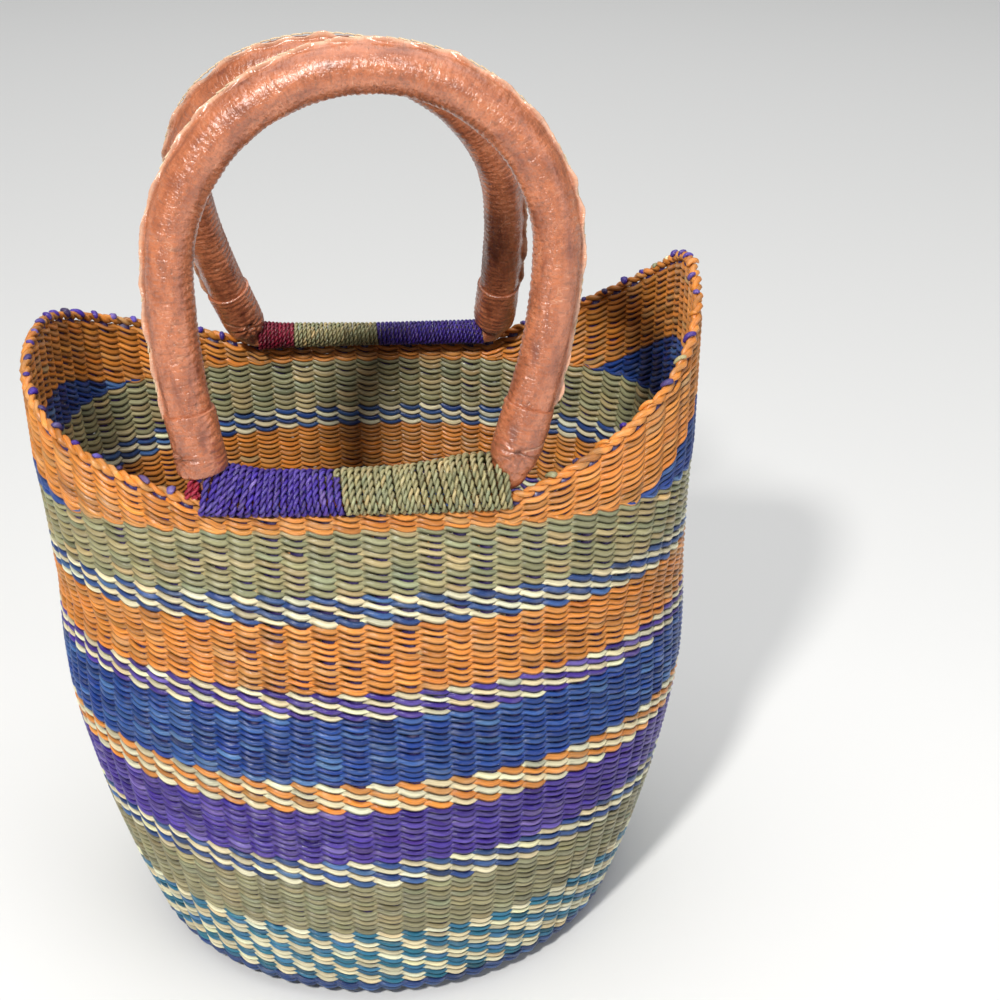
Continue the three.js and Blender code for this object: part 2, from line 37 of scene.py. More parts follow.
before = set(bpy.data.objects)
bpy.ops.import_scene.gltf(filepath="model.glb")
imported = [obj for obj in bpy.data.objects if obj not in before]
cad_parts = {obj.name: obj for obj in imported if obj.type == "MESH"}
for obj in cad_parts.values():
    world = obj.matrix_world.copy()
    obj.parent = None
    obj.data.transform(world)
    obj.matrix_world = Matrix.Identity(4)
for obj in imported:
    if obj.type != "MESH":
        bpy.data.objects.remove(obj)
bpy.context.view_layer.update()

# Sizes of the solids, in metres

BELLY_HALF_LENGTH = 0.1318
BELLY_HALF_DEPTH = 0.1064
SHOULDER_HEIGHT = 0.219
WALL_THICKNESS = 0.005
FOOT_TURN_HEIGHT = 0.0105
WALL_HEIGHTS = np.array([
    FOOT_TURN_HEIGHT / SHOULDER_HEIGHT, 0.16, 0.32, 0.525, 0.731, 0.849, 0.932, 0.977, 1,
]) * SHOULDER_HEIGHT
WALL_LENGTHS = np.array([0.815, 0.876, 0.945, 1, 0.994, 0.987, 0.985, 0.985, 0.986]) * BELLY_HALF_LENGTH
WALL_DEPTHS = np.array([0.96, 0.985, 1, 0.989, 0.924, 0.851, 0.818, 0.806, 0.8039]) * BELLY_HALF_DEPTH
BELLY_POWER = 2
MOUTH_POWER = 3
POWER_BLEND_START = 0.731 * SHOULDER_HEIGHT

FOOT_OVAL = WALL_DEPTHS[0] / WALL_LENGTHS[0]
FOOT_RADII = np.array([0, 0.082, 0.09117, 0.09919, 0.10354, 0.10492])
FOOT_HEIGHTS = np.array([0.0025, 0.0025, 0.00298, 0.00426, 0.0065, 0.0105])
START_DISC_RADIUS = 0.030
FOOT_TOP = 0.011

# Level bands from the foot up: node, height, rows of twining and dyes of the two strands
BANDS = [
    ("band_teal_cream", 0.029, 12, ("teal", "cream")),
    ("band_khaki", 0.025, 10, ("khaki", "khaki")),
    ("stripe_cream_navy_lower", 0.0115, 4, ("cream", "navy")),
    ("band_purple", 0.0238, 9, ("purple", "purple")),
    ("stripe_orange_cream", 0.0126, 4, ("orange", "cream")),
    ("band_blue", 0.027, 11, ("blue", "blue")),
    ("stripe_cream_purple", 0.0099, 4, ("cream", "purple")),
    ("band_orange", 0.0254, 10, ("orange", "orange")),
    ("stripe_cream_navy_upper", 0.0108, 4, ("cream", "navy")),
    ("band_olive", 0.025, 9, ("olive", "olive")),
]
OLIVE_TOP = FOOT_TOP + sum(band[1] for band in BANDS)

BORDER_RADIUS = 0.0021
BORDER_HEIGHT = 0.221
RIGHT_PEAK_RISE = 0.0595
LEFT_PEAK_RISE = 0.0368
RISE_START = 0.17
NOTCH_HALF_LENGTH = 0.0515
NOTCH_SLOPE = 0.003
NOTCH_DROP = 0.0016

BAR_RADIUS = 0.0038
BAR_HALF_LENGTH = 0.0495
BAR_CORNER = 0.0048
MOUTH_HALF_LENGTH = WALL_LENGTHS[-1] - WALL_THICKNESS / 2
MOUTH_HALF_DEPTH = WALL_DEPTHS[-1] - WALL_THICKNESS / 2
BAR_Y = MOUTH_HALF_DEPTH - 0.008
BAR_Z = BORDER_HEIGHT + 0.0042
HANDLE_HEIGHT = 0.1433
WIDEST_HEIGHT = 0.079
CORE_RADIUS = 0.0064
SWELL_LENGTH = 0.010
LEATHER_RADIUS = 0.0082
SEAM_HEIGHT = 0.003
CUFF_TOP = 0.0264
HANDLES = {
    "front": {"side": -1, "offset": -0.0018, "half_width": 0.0653, "sway": 0.009, "lean": math.radians(4.3)},
    "back": {"side": 1, "offset": 0.0, "half_width": 0.0629, "sway": -0.0117, "lean": math.radians(23.6)},
}

# The weave: stitches round the wall, points along a stitch and round a straw, how unevenly the stakes stand
# in stitches, how uneven the stitches are, how many leave a gap, and how far they stray up or down
COLUMNS = 74
STEPS_PER_STITCH = 6
STRAW_SIDES = 6
STAKE_SPREAD = 0.055
SIZE_SPREAD = 0.075
GAP_SHARE = 0.45
PUSH_SPREAD = 0.00016
WAVER = 0.0006
# Half the height of a stitch at its ends and what its middle adds, in rows, and how much one beside a gap
# is thinner and higher in its middle
STITCH_HALF = 0.465
STITCH_SWELL = 0.03
GAP_THINNING = 0.30
GAP_LIFT = 0.0002
# How much painted shade darkens the dye along the lower edge of a stitch, of a strand of the border and of a
# ply
STITCH_PAINTED_SHADE = 0.95
BORDER_PAINTED_SHADE = 0.35
PLY_PAINTED_SHADE = 0.25

# Rows of the rim: their pitch, how many are orange at each end, what share of a row may run past the top
# edge, how close under it such a row is kept, and by how many points a row that ends runs on under the rest
RIM_PITCH = 0.00262
RIGHT_ORANGE_ROWS = 12
LEFT_ORANGE_ROWS = 10
ROW_OVERRUN = 0.45
ROW_HEADROOM = 0.12
RUN_OVERLAP = 4

# The foot: the pitch of its rows, where the first one starts, the stitches of a row inside each radius
# (further out it has as many as the wall), and how wide and thick its middle knot is
FOOT_PITCH = 0.0026
FOOT_START = 0.004
FOOT_STITCHES = ((0.014, 12), (0.026, 24), (0.052, 38))
KNOT_RADIUS = 0.0024
KNOT_STRAND = 0.0013

# The stakes: how far out on the foot the long, middle and short ones start, the distance between their
# points there, the lowest point of their run up the wall, their half thickness, and two heights with
# their half widths there
STAKE_STARTS = (0.006, 0.026, 0.052)
STAKE_STEP = 0.006
STAKE_TURN = 0.013
STAKE_HALF_DEPTH = 0.00075
STAKE_HALF_WIDTHS = ([0.012, 0.03], [0.0016, 0.0027])

# The border: how far its strands swing and their half thickness, what the windings take off both, and
# the stake ends that are folded over it
BORDER_SWING = 0.00095
BORDER_STRAND = 0.00100
BORDER_SQUEEZE = 0.00025
KNOB_REACH = 0.00215
KNOB_RADIUS = 0.00104
KNOB_CLEARANCE = 0.013
KNOB_DYES = ["purple", "stake", "purple", "cream", "purple", "stake", "orange", "purple", "olive", "purple"]

# Bindings of each bar, along it: dye, first and last place
BINDINGS = {
    "front": [("crimson", -0.0625, -0.0582), ("purple", -0.0582, -0.0080), ("olive", -0.0080, 0.0520)],
    "back": [("maroon", -0.0500, -0.0340), ("olive", -0.0340, 0.0030), ("purple", 0.0030, 0.0500)],
}
# How thick the cord of each winding is, as a share of the front one's
CORD_SHARES = {"front": 1.0, "back": 0.74}
# How unevenly the turns of each winding lie
TURN_WANDERS = {"front": 0.0004, "back": 0.00012}
# How much thicker each winding is than the bar, at places along it
FLARES = {
    "front": (
        [-0.0625, -0.0583, -0.0582, -0.050, -0.036, -0.012, 0.014, 0.028, 0.040, 0.047, 0.052],
        [0.0006, 0.0010, 0.0020, 0.0018, -0.0006, -0.0012, -0.0004, 0.0012, 0.0034, 0.0038, 0.0026],
    ),
    "back": ([-0.050, -0.040, 0.0, 0.040, 0.050], [0.0010, 0.0, -0.0006, -0.0003, 0.0]),
}
# How far the turns lean along the bar for each metre that they climb, at places along it
LEANS = {
    "front": (
        [-0.060, -0.058, -0.050, -0.036, -0.015, 0.010, 0.040, 0.052],
        [0.35, 0.12, 0.36, 0.10, -0.22, -0.30, -0.36, -0.15],
    ),
    "back": ([-0.050, 0.050], [0.12, -0.15]),
}
# The two plies of a cord, in shares of its radius: their radius, their distance from its middle and the
# length of one twist; then points along a turn, and the gap between the cord and what it is wound on
PLY_RADIUS = 0.55
PLY_OFFSET = 0.52
TWIST_LENGTH = 5.2
TURN_STEPS = 84
CORD_GAP = 0.00022
# How far apart the turns lie, in cords
TURN_PITCH = 1.02
# How far the few crimson turns reach from the bar towards the border
CRIMSON_REACH = 0.3

# Points round the leather: the seam's two cut edges first, then the rest by angle. Each seam point is a
# share of the seam's height and a place across it in metres.
SEAM_SHARES = (0.0, 0.30, 0.75, 1.0, 1.04, 1.0, 0.75, 0.30, 0.0)
SEAM_PLACES = (-0.00100, -0.00040, -0.00026, -0.00024, 0.0, 0.00024, 0.00026, 0.00040, 0.00100)
SKIN_ANGLES = np.radians(np.linspace(10, 350, 58))
LEATHER_STEP = 0.00065
CUFF_STEP = 0.00045
# Waves of the seam's edge and of its line, and rings pressed into the inside of the bend
SCALLOP_LENGTH = 0.0150
SWAY_LENGTH = 0.0118
SWAY = 0.0009
RIPPLE_LENGTH = 0.0026
RIPPLE_HEIGHT = 0.00016
# How high the slow swells, the lumps and the fine grain of the hide are
SWELL_HEIGHT = 0.00030
LUMP_HEIGHT = 0.00034
GRAIN_HEIGHT = 0.00016

# Where each cuff is pinched together, in metres above its end and degrees round the leg from its outside,
# and how blunt its end is: 0 tapers to the bar and 1 is cut off square above it
PINCHES = {
    ("front", 1): (0.0162, -88, 0.0), ("front", -1): (0.0165, -40, 1.0),
    ("back", 1): (0.0140, 110, 0.4), ("back", -1): (0.0150, -120, 0.5),
}
# Where the square end is cut off, and places up a cuff and its radii there, for both kinds of end
SQUARE_CUT = 0.0084
TAPERED_END = ([0, 0.0035, 0.007, 0.010, 0.0130, 0.0165], [0.0048, 0.0055, 0.0069, 0.0080, 0.0087, 0.0090])
SQUARE_END = ([0, 0.0070, 0.0080, 0.0088, 0.0098, 0.015], [0.0048, 0.0052, 0.0060, 0.0082, 0.0089, 0.0090])
# The gathers round a pinch: how many folds, how far they reach, how high and deep they are, and the
# small hollow in their middle
FOLD_COUNT = 11
FOLD_REACH = 0.0085
FOLD_HEIGHT = 0.00060
HOLLOW_DEPTH = 0.0018
HOLLOW_RADIUS = 0.0013
# The lap of a cuff: how far it climbs round the leg, and how deep the step along it is
LAP_CLIMB = 0.0050
LAP_DEPTH = 0.00045

# The lacing: the length of a stitch, its thread, and how far above the hide a stitch starts and ends
LACING_STEP = 0.0034
THREAD_RADIUS = 0.00032
LACING_HEIGHTS = (0.0012, 0.0016)

# The grass core: the distance between its rings of points, and the length and height of the turns of
# straw round it; then how much thinner its bar is inside the winding, and where that ends
CORE_STEP = 0.0009
WRAP_LENGTH = 0.0023
WRAP_HEIGHT = 0.00018
BAR_THINNING = 0.0012
BAR_THIN_END = 0.045

# The camera: its focal length in millimetres, its turn and tilt, and its place before that turn
CAMERA_LENS = 54.21
CAMERA_TURN = math.radians(3.157)
CAMERA_TILT = math.radians(26.965)
CAMERA_PLACE = (0.05300, -0.55825, 0.4639)


def linear(text):
    """A colour written as six hex digits, as linear red, green and blue."""
    channels = [int(text[i:i + 2], 16) / 255 for i in (0, 2, 4)]
    return tuple(c / 12.92 if c <= 0.04045 else ((c + 0.055) / 1.055) ** 2.4 for c in channels)


def colour_property(name, text):
    return bpy.props.FloatVectorProperty(
        name=name, description=f"Colour of the {name.lower()}", subtype="COLOR", size=3,
        min=0, max=1, default=linear(text),
    )


def number_property(name, description, default, low, high, subtype="NONE", unit="NONE"):
    return bpy.props.FloatProperty(
        name=name, description=description, default=default, min=low, max=high, subtype=subtype, unit=unit,
    )


class BasketDyes(bpy.types.PropertyGroup):
    """Colours of the dyed straw."""

    orange: colour_property("Orange straw", "e08a35")
    olive: colour_property("Olive straw", "95956e")
    cream: colour_property("Cream straw", "ede3bd")
    navy: colour_property("Navy straw", "24407c")
    blue: colour_property("Blue straw", "0d3688")
    purple: colour_property("Purple straw", "3d248c")
    teal: colour_property("Teal straw", "20708a")
    khaki: colour_property("Khaki straw", "98906e")
    crimson: colour_property("Crimson straw", "a5193c")
    maroon: colour_property("Maroon straw", "7a1730")
    stake: colour_property("Stakes", "33265a")
    undyed: colour_property("Undyed grass", "c9b57e")
    tan: colour_property("Tan straw", "c4ab7a")
    lilac: colour_property("Faded purple straw", "7d6bb4")
    sky: colour_property("Faded blue straw", "5580b4")


class BasketWeave(bpy.types.PropertyGroup):
    """Sizes of the twining."""

    strand_depth: number_property(
        "Strand depth", "Half the thickness of a strand through the wall",
        0.00105, 0.0003, 0.002, "DISTANCE", "LENGTH",
    )
    crossing: number_property(
        "Crossing", "How far a strand swings out and in round the stakes",
        0.00112, 0.0005, 0.003, "DISTANCE", "LENGTH",
    )
    slant: number_property(
        "Slant", "How far a stitch's left end stands above its middle, as a share of a row", 0.25, 0, 0.5,
    )
    sag: number_property(
        "Sag", "How far a stitch hangs down in its middle, as a share of a row", 0.34, 0, 0.5,
    )
    lead: number_property(
        "Lead", "How far a stitch's left end comes out over the end of the one before it",
        math.radians(27), 0, math.radians(45), "ANGLE", "ROTATION",
    )
    cord_radius: number_property(
        "Binding cord", "Radius of the twisted cord of the bindings",
        0.0012, 0.0005, 0.002, "DISTANCE", "LENGTH",
    )


class BasketLeather(bpy.types.PropertyGroup):
    """Finish of the handles' leather."""

    dark: colour_property("Dark leather", "7e3f25")
    light: colour_property("Light leather", "bd704a")
    edge: colour_property("Cut edge", "d6a283")
    thread: colour_property("Seam thread", "dfc9a6")


# Lines and directions

# How far to both sides of a place the way along a surface is taken, in metres
NEAR = 0.0004


def unit(vectors):
    return vectors / np.linalg.norm(vectors, axis=-1, keepdims=True)


def circle(turn):
    return np.stack([np.cos(turn), np.sin(turn)], -1)


def distances(line):
    """How far along a line each of its points lies."""
    return np.concatenate([[0], np.cumsum(np.linalg.norm(np.diff(line, axis=0), axis=1))])


def directions(line, closed=False):
    """The way along a line at each of its points."""
    return unit(np.roll(line, -1, 0) - np.roll(line, 1, 0) if closed else np.gradient(line, axis=0))


def square_to(along, vectors):
    """The part of each vector that stands square to the way along, as a unit vector."""
    return unit(vectors - (vectors * along).sum(-1, keepdims=True) * along)


def tube_places(places, turn):
    """For each point of a tube: how far along it lies, and the cosine and sine of its place round it."""
    values = np.empty((len(places), len(turn), 3))
    values[..., 0] = places[:, None]
    values[..., 1:] = circle(turn)
    return values


# Shape of the wall


def table_value(places, values, place):
    """The value of a smooth table at each place, by cubic steps between its stations."""
    slopes = np.empty(len(values))
    for k in range(len(values)):
        before, after = max(k - 1, 0), min(k + 1, len(values) - 1)
        slopes[k] = (values[after] - values[before]) / (places[after] - places[before])
    place = np.clip(place, places[0], places[-1])
    i = np.clip(np.searchsorted(places, place, side="right") - 1, 0, len(places) - 2)
    span = places[i + 1] - places[i]
    t = (place - places[i]) / span
    start = (2 * t**3 - 3 * t**2 + 1) * values[i] + (t**3 - 2 * t**2 + t) * span * slopes[i]
    return start + (3 * t**2 - 2 * t**3) * values[i + 1] + (t**3 - t**2) * span * slopes[i + 1]


def wall_point(angle, height, depth):
    """Points of the wall, depth in from its outside."""
    half_length = table_value(WALL_HEIGHTS, WALL_LENGTHS, height) - depth
    half_depth = table_value(WALL_HEIGHTS, WALL_DEPTHS, height) - depth
    share = np.clip((height - POWER_BLEND_START) / (SHOULDER_HEIGHT - POWER_BLEND_START), 0, 1)
    power = BELLY_POWER + (MOUTH_POWER - BELLY_POWER) * share
    factor = (np.abs(np.cos(angle)) ** power + np.abs(np.sin(angle)) ** power) ** (-1 / power)
    x = half_length * factor * np.cos(angle)
    y = half_depth * factor * np.sin(angle)
    return np.stack([x, y, height * np.ones_like(x)], -1)


def column_angles():
    """Plan angles that space the stakes evenly round the wall, by height and by column."""
    heights = np.linspace(WALL_HEIGHTS[0], SHOULDER_HEIGHT, 48)
    places = np.linspace(0, COLUMNS, COLUMNS * 8 + 1)
    fine = np.linspace(0, 2 * math.pi, 2881)
    rows = []
    for height in heights:
        lengths = distances(wall_point(fine, np.full_like(fine, height), WALL_THICKNESS / 2))
        rows.append(np.interp(places / COLUMNS * lengths[-1], lengths, fine))
    return heights, np.array(rows)


ANGLE_HEIGHTS, ANGLE_ROWS = column_angles()
STAKE_DRIFT = np.random.default_rng(5).normal(0, STAKE_SPREAD, COLUMNS)


def angle_at(column, height):
    """The plan angle of a place counted in columns, at a height. The stakes stand a little unevenly."""
    drift = np.append(STAKE_DRIFT, STAKE_DRIFT[0])
    column = column + np.interp(column % COLUMNS, np.arange(COLUMNS + 1), drift)
    turns = np.floor(column / COLUMNS)
    place = (column - turns * COLUMNS) * 8
    level = (height - ANGLE_HEIGHTS[0]) / (ANGLE_HEIGHTS[1] - ANGLE_HEIGHTS[0])
    level = np.clip(level, 0, len(ANGLE_HEIGHTS) - 1.001)
    i, j = np.floor(place).astype(int), np.floor(level).astype(int)
    i = np.minimum(i, COLUMNS * 8 - 1)
    s, t = place - i, level - j
    low = ANGLE_ROWS[j, i] * (1 - s) + ANGLE_ROWS[j, i + 1] * s
    high = ANGLE_ROWS[j + 1, i] * (1 - s) + ANGLE_ROWS[j + 1, i + 1] * s
    return low * (1 - t) + high * t + turns * 2 * math.pi


def middle_of_wall(column, height):
    return wall_point(angle_at(column, height), height, WALL_THICKNESS / 2)


def wall_frame(column, height):
    """Points in the middle of the wall, with the way out and the way up along the wall."""
    around = middle_of_wall(column + 0.1, height) - middle_of_wall(column - 0.1, height)
    up = middle_of_wall(column, height + NEAR) - middle_of_wall(column, height - NEAR)
    return middle_of_wall(column, height), unit(np.cross(around, up)), unit(up)


def foot_profile():
    """A smooth line from the middle of the foot to the wall: distances along it, radii and heights."""
    lengths = distances(np.stack([FOOT_RADII, FOOT_HEIGHTS], -1))
    place = np.linspace(0, 1, 200) * lengths[-1]
    line = np.stack([np.interp(place, lengths, values) for values in (FOOT_RADII, FOOT_HEIGHTS)], -1)
    for _ in range(12):
        line[1:-1] = (line[:-2] + line[1:-1] * 2 + line[2:]) / 4
    return distances(line), line[:, 0], line[:, 1]


FOOT_LINE = foot_profile()


def foot_frame(angle, distance):
    """Points in the middle of the foot, with the way out and the way along the foot to the wall."""

    def point(a, d):
        radius, height = (np.interp(d, FOOT_LINE[0], values) for values in FOOT_LINE[1:])
        return np.stack([radius * np.cos(a), FOOT_OVAL * radius * np.sin(a), height * np.ones_like(a)], -1)

    around = point(angle + 0.01, distance) - point(angle - 0.01, distance)
    along = point(angle, distance + NEAR) - point(angle, distance - NEAR)
    return point(angle, distance), unit(np.cross(around, along)), unit(along)


def rim_rise(angle):
    share = np.maximum((np.cos(angle) ** 2 - RISE_START) / (1 - RISE_START), 0)
    return share * np.where(np.cos(angle) > 0, RIGHT_PEAK_RISE, LEFT_PEAK_RISE)


def border_point(angle):
    return wall_point(angle, BORDER_HEIGHT + rim_rise(angle), WALL_THICKNESS / 2)


def wall_top(angle):
    """The wall's top edge, which dips where the bindings pass beneath the border."""
    x = np.abs(border_point(angle)[..., 0])
    in_notch = np.clip((NOTCH_HALF_LENGTH + NOTCH_SLOPE - x) / NOTCH_SLOPE, 0, 1)
    return BORDER_HEIGHT + rim_rise(angle) - BORDER_RADIUS - NOTCH_DROP * in_notch


# Meshes of straw


def quads(low, high):
    """Four-sided faces between rings of points."""
    return np.stack([low, np.roll(low, -1, 1), np.roll(high, -1, 1), high], -1).reshape(-1, 4)


class Straw:
    """Gathers tubes of straw, with their colours and fibre directions, into one mesh."""

    def __init__(self):
        self.points, self.faces, self.tints, self.fibres = [], [], [], []
        self.count = 0

    def add(self, rings, tint, fibre, closed):
        rows, sides = rings.shape[:2]
        index = np.arange(rows * sides).reshape(rows, sides) + self.count
        if closed:
            self.faces.append(quads(index, np.roll(index, -1, 0)))
        else:
            self.faces.append(quads(index[:-1], index[1:]))
            for i in range(1, sides - 2, 2):
                self.faces.append(index[0, [0, i + 2, i + 1, i]][None])
                self.faces.append(index[-1, [0, i, i + 1, i + 2]][None])
        self.points.append(rings.reshape(-1, 3))
        if tint.ndim == 2:
            tint = np.repeat(tint[:, None], sides, 1)
        self.tints.append(tint.reshape(-1, 3))
        self.fibres.append(fibre.reshape(-1, 3))
        self.count += rows * sides

    def tube(self, path, outward, half_deep, half_high, tint, closed, start=0.0, painted_shade=0.0):
        """A tube along a path: half_deep is its half thickness along outward, half_high across that. Its last
        argument is how much painted shade darkens the dye along its lower edge; 0.35 times as much darkens
        its upper edge."""
        along = directions(path, closed)
        outward = square_to(along, outward)
        across = np.cross(along, outward)
        turn = np.arange(STRAW_SIDES) / STRAW_SIDES * 2 * math.pi
        # Painted shade: the dye is darker along the tube's lower edge and, less so, along its upper edge.
        if painted_shade:
            below, above = np.maximum(np.sin(turn), 0), np.maximum(-np.sin(turn), 0)
            tint = tint[:, None] * (1 - painted_shade * below ** 0.75 - 0.35 * painted_shade * above)[None, :, None]
        rings = (
            path[:, None]
            + outward[:, None] * (half_deep[:, None] * np.cos(turn))[..., None]
            + across[:, None] * (half_high[:, None] * np.sin(turn))[..., None]
        )
        self.add(rings, tint, tube_places(distances(path) + start, turn), closed)

    def finish(self, name, body, slot, material, nodes):
        points = np.concatenate(self.points)
        piece = make_piece(name, points, np.concatenate(self.faces))
        add_attribute(piece, "tint", "FLOAT_COLOR", np.c_[np.concatenate(self.tints), np.ones(len(points))])
        add_attribute(piece, "fibre", "FLOAT_VECTOR", np.concatenate(self.fibres))
        settle(piece, body, material, nodes)


def add_object(name, data):
    thing = bpy.data.objects.new(name, data)
    bpy.context.scene.collection.objects.link(thing)
    return thing


def make_piece(name, points, faces):
    """A smooth mesh object at the origin, from points and four-sided faces."""
    mesh = bpy.data.meshes.new(name)
    mesh.vertices.add(len(points))
    mesh.vertices.foreach_set("co", points.astype(np.float32).ravel())
    mesh.loops.add(faces.size)
    mesh.loops.foreach_set("vertex_index", faces.astype(np.int32).ravel())
    mesh.polygons.add(len(faces))
    mesh.polygons.foreach_set("loop_start", np.arange(0, faces.size, 4, dtype=np.int32))
    mesh.polygons.foreach_set("use_smooth", np.ones(len(faces), bool))
    mesh.update(calc_edges=True)
    return add_object(name, mesh)


def add_attribute(piece, name, kind, values):
    attribute = piece.data.attributes.new(name, kind, "POINT")
    field = {"FLOAT_COLOR": "color", "FLOAT_VECTOR": "vector", "FLOAT": "value"}[kind]
    attribute.data.foreach_set(field, values.astype(np.float32).ravel())


def settle(piece, body, material, nodes):
    """Gives a piece its material and its place in the frame."""
    piece.data.materials.append(material)
    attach(piece, body)
    if nodes:
        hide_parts(*nodes)


# What each dye fades to, and how strongly
FADES = {
    "orange": ("tan", 0.12), "olive": ("tan", 0.30), "cream": ("tan", 0.10), "undyed": ("tan", 0.4),
    "navy": ("sky", 0.18), "blue": ("sky", 0.20), "teal": ("sky", 0.18), "khaki": ("olive", 0.30),
    "purple": ("lilac", 0.20), "stake": ("lilac", 0.25), "crimson": ("orange", 0.04),
    "maroon": ("crimson", 0.15),
}


def dyed(dye, count, rng, fade=1.0):
    """Colours of a number of stitches in one dye, each a little lighter, darker or more faded."""
    dyes = bpy.context.scene.basket_dyes
    mate, strength = FADES[dye]
    base, faded = np.array(getattr(dyes, dye)), np.array(getattr(dyes, mate))
    light = rng.normal(1, 0.16, (count, 1))
    share = np.clip(rng.exponential(strength * fade, (count, 1)), 0, 0.85)
    warm = rng.normal(0, 0.05, (count, 1)) * np.array([[1, 0, -1]])
    return np.clip((base * (1 - share) + faded * share) * light * (1 + warm), 0.002, 0.95)


# Twining


def waver(points, closed):
    """How far a row strays up or down at its points, alike for rows that lie on each other."""
    stray = [noise.noise((p[0] * 21, p[1] * 21, p[2] * 16)) for p in points[::STEPS_PER_STITCH]]
    if closed:
        stray.append(stray[0])
    return WAVER * np.interp(np.arange(len(points)) / STEPS_PER_STITCH, np.arange(len(stray)), stray)


def twined_row(straw, centres, columns, closed, dyes, parity, rng):
    """One row of twining: two strands that change places between the stakes.
    columns are the places along the row, and centres is (points, out, up, pitch) at them."""
    weave = bpy.context.scene.basket_weave
    points, out, up, pitch = centres
    stitch = np.floor(columns + 0.5).astype(int)
    first, count = stitch.min(), stitch.max() - stitch.min() + 1
    size = rng.normal(1, SIZE_SPREAD, count)[stitch - first]
    gap = (rng.random(count) < GAP_SHARE)[stitch - first]
    push = rng.normal(0, PUSH_SPREAD, count)[stitch - first]
    stray = waver(points, closed)
    tint_count, tint_index = (COLUMNS, stitch % COLUMNS) if closed else (count, stitch - first)
    for strand in (0, 1):
        phase = math.pi * (columns + strand + parity)
        swing, rise = np.cos(phase + weave.lead), np.sin(phase)
        body = np.abs(np.cos(phase + 0.3 * weave.lead))
        tint = dyed(dyes[strand], tint_count, rng)[tint_index]
        # Painted shade: each stitch is darkened towards its ends, where the strands cross, down to 0.8 of its
        # colour.
        tint = tint * (0.80 + 0.20 * body ** 0.6)[:, None]
        shape = np.sign(swing) * np.abs(swing) ** 0.75
        lift = -pitch * (weave.slant * rise + weave.sag * body) + push * body + gap * body * GAP_LIFT
        path = points + out * (weave.crossing * shape)[:, None] + up * (lift + stray)[:, None]
        half_deep = weave.strand_depth * (0.70 + 0.30 * body)
        half_high = pitch * (STITCH_HALF + STITCH_SWELL * body) * size * (1 - GAP_THINNING * gap * body)
        straw.tube(path, out, half_deep, half_high, tint, closed, start=rng.random() * 9, painted_shade=STITCH_PAINTED_SHADE)


def closed_columns(stitches=COLUMNS):
    return np.arange(stitches * STEPS_PER_STITCH) / STEPS_PER_STITCH


def level_band(name, low, high, rows, dyes, material, seed):
    """A band of closed rows between two heights, evenly spaced up the slope of the wall's front."""
    rng = np.random.default_rng(seed)
    straw = Straw()
    columns = closed_columns()
    slope = np.linspace(low, high, 60)
    lengths = distances(np.stack([slope, table_value(WALL_HEIGHTS, WALL_DEPTHS, slope)], -1))
    heights = np.interp(np.arange(2 * rows + 1) / (2 * rows) * lengths[-1], lengths, slope)
    for row in range(rows):
        bottom, middle, top = (np.full_like(columns, height) for height in heights[2 * row:2 * row + 3])
        pitch = np.linalg.norm(middle_of_wall(columns, top) - middle_of_wall(columns, bottom), axis=1)
        parity = row // 2 if name == "band_teal_cream" else row
        twined_row(straw, (*wall_frame(columns, middle), pitch), columns, True, dyes, parity, rng)
    slot = "straw_" + "_".join(dict.fromkeys(dyes))
    straw.finish("woven_" + name, "basket", slot, material, [name])


def rim_rows():
    """The rim's rows, counted down from its top edge: where each one is kept, and its heights."""
    columns = closed_columns()
    top = wall_top(angle_at(columns, np.full_like(columns, SHOULDER_HEIGHT)))
    heights = OLIVE_TOP + (top - OLIVE_TOP) * np.linspace(0, 1, 50)[:, None]
    points = middle_of_wall(np.broadcast_to(columns, heights.shape), heights)
    steps = np.linalg.norm(np.diff(points, axis=0), axis=2)
    lengths = np.concatenate([np.zeros((1, len(columns))), np.cumsum(steps, 0)])
    rows = []
    for row in range(30):
        place = lengths[-1] - (row + 0.5) * RIM_PITCH
        kept = place > -ROW_OVERRUN * RIM_PITCH
        place = np.maximum(place, ROW_HEADROOM * RIM_PITCH)
        if not kept.any():
            break
        rows.append((kept, np.array([
            np.interp(place[i], lengths[:, i], heights[:, i]) for i in range(len(columns))
        ])))
    return columns, rows


def runs_of(kept):
    """Unbroken runs of kept places round a ring, as arrays of unwrapped indices."""
    count = len(kept)
    if kept.all():
        return [np.arange(count)]
    runs = []
    for start in range(count):
        if kept[start] and not kept[start - 1]:
            end = start
            while kept[(end + 1) % count]:
                end += 1
            runs.append(np.arange(start - RUN_OVERLAP, end + 1 + RUN_OVERLAP))
    return runs


def rim_bands(material):
    """The orange band under the rim and the navy crescents below it, in rows that follow the rim."""
    rng = np.random.default_rng(41)
    orange, left, right = Straw(), Straw(), Straw()
    columns, rows = rim_rows()
    count = len(columns)
    for row, (kept, heights) in enumerate(rows):
        for run in runs_of(kept):
            places = columns[run % count] + (run // count) * COLUMNS
            high_end = math.cos(angle_at(places[len(places) // 2:][:1], heights[:1])[0]) > 0
            if row < (RIGHT_ORANGE_ROWS if high_end else LEFT_ORANGE_ROWS):
                target, dye = orange, "orange"
            else:
                target, dye = (right if high_end else left), "blue"
            centres = (*wall_frame(places, heights[run % count]), np.full(len(run), RIM_PITCH))
            twined_row(target, centres, places, len(run) == count, (dye, dye), row, rng)
    orange.finish("woven_rim_band", "basket", "straw_orange", material, ["rim_band_orange"])
    right.finish("woven_crescent_right", "basket", "straw_navy", material, ["crescent_navy_right"])
    left.finish("woven_crescent_left", "basket", "straw_navy", material, ["crescent_navy_left"])


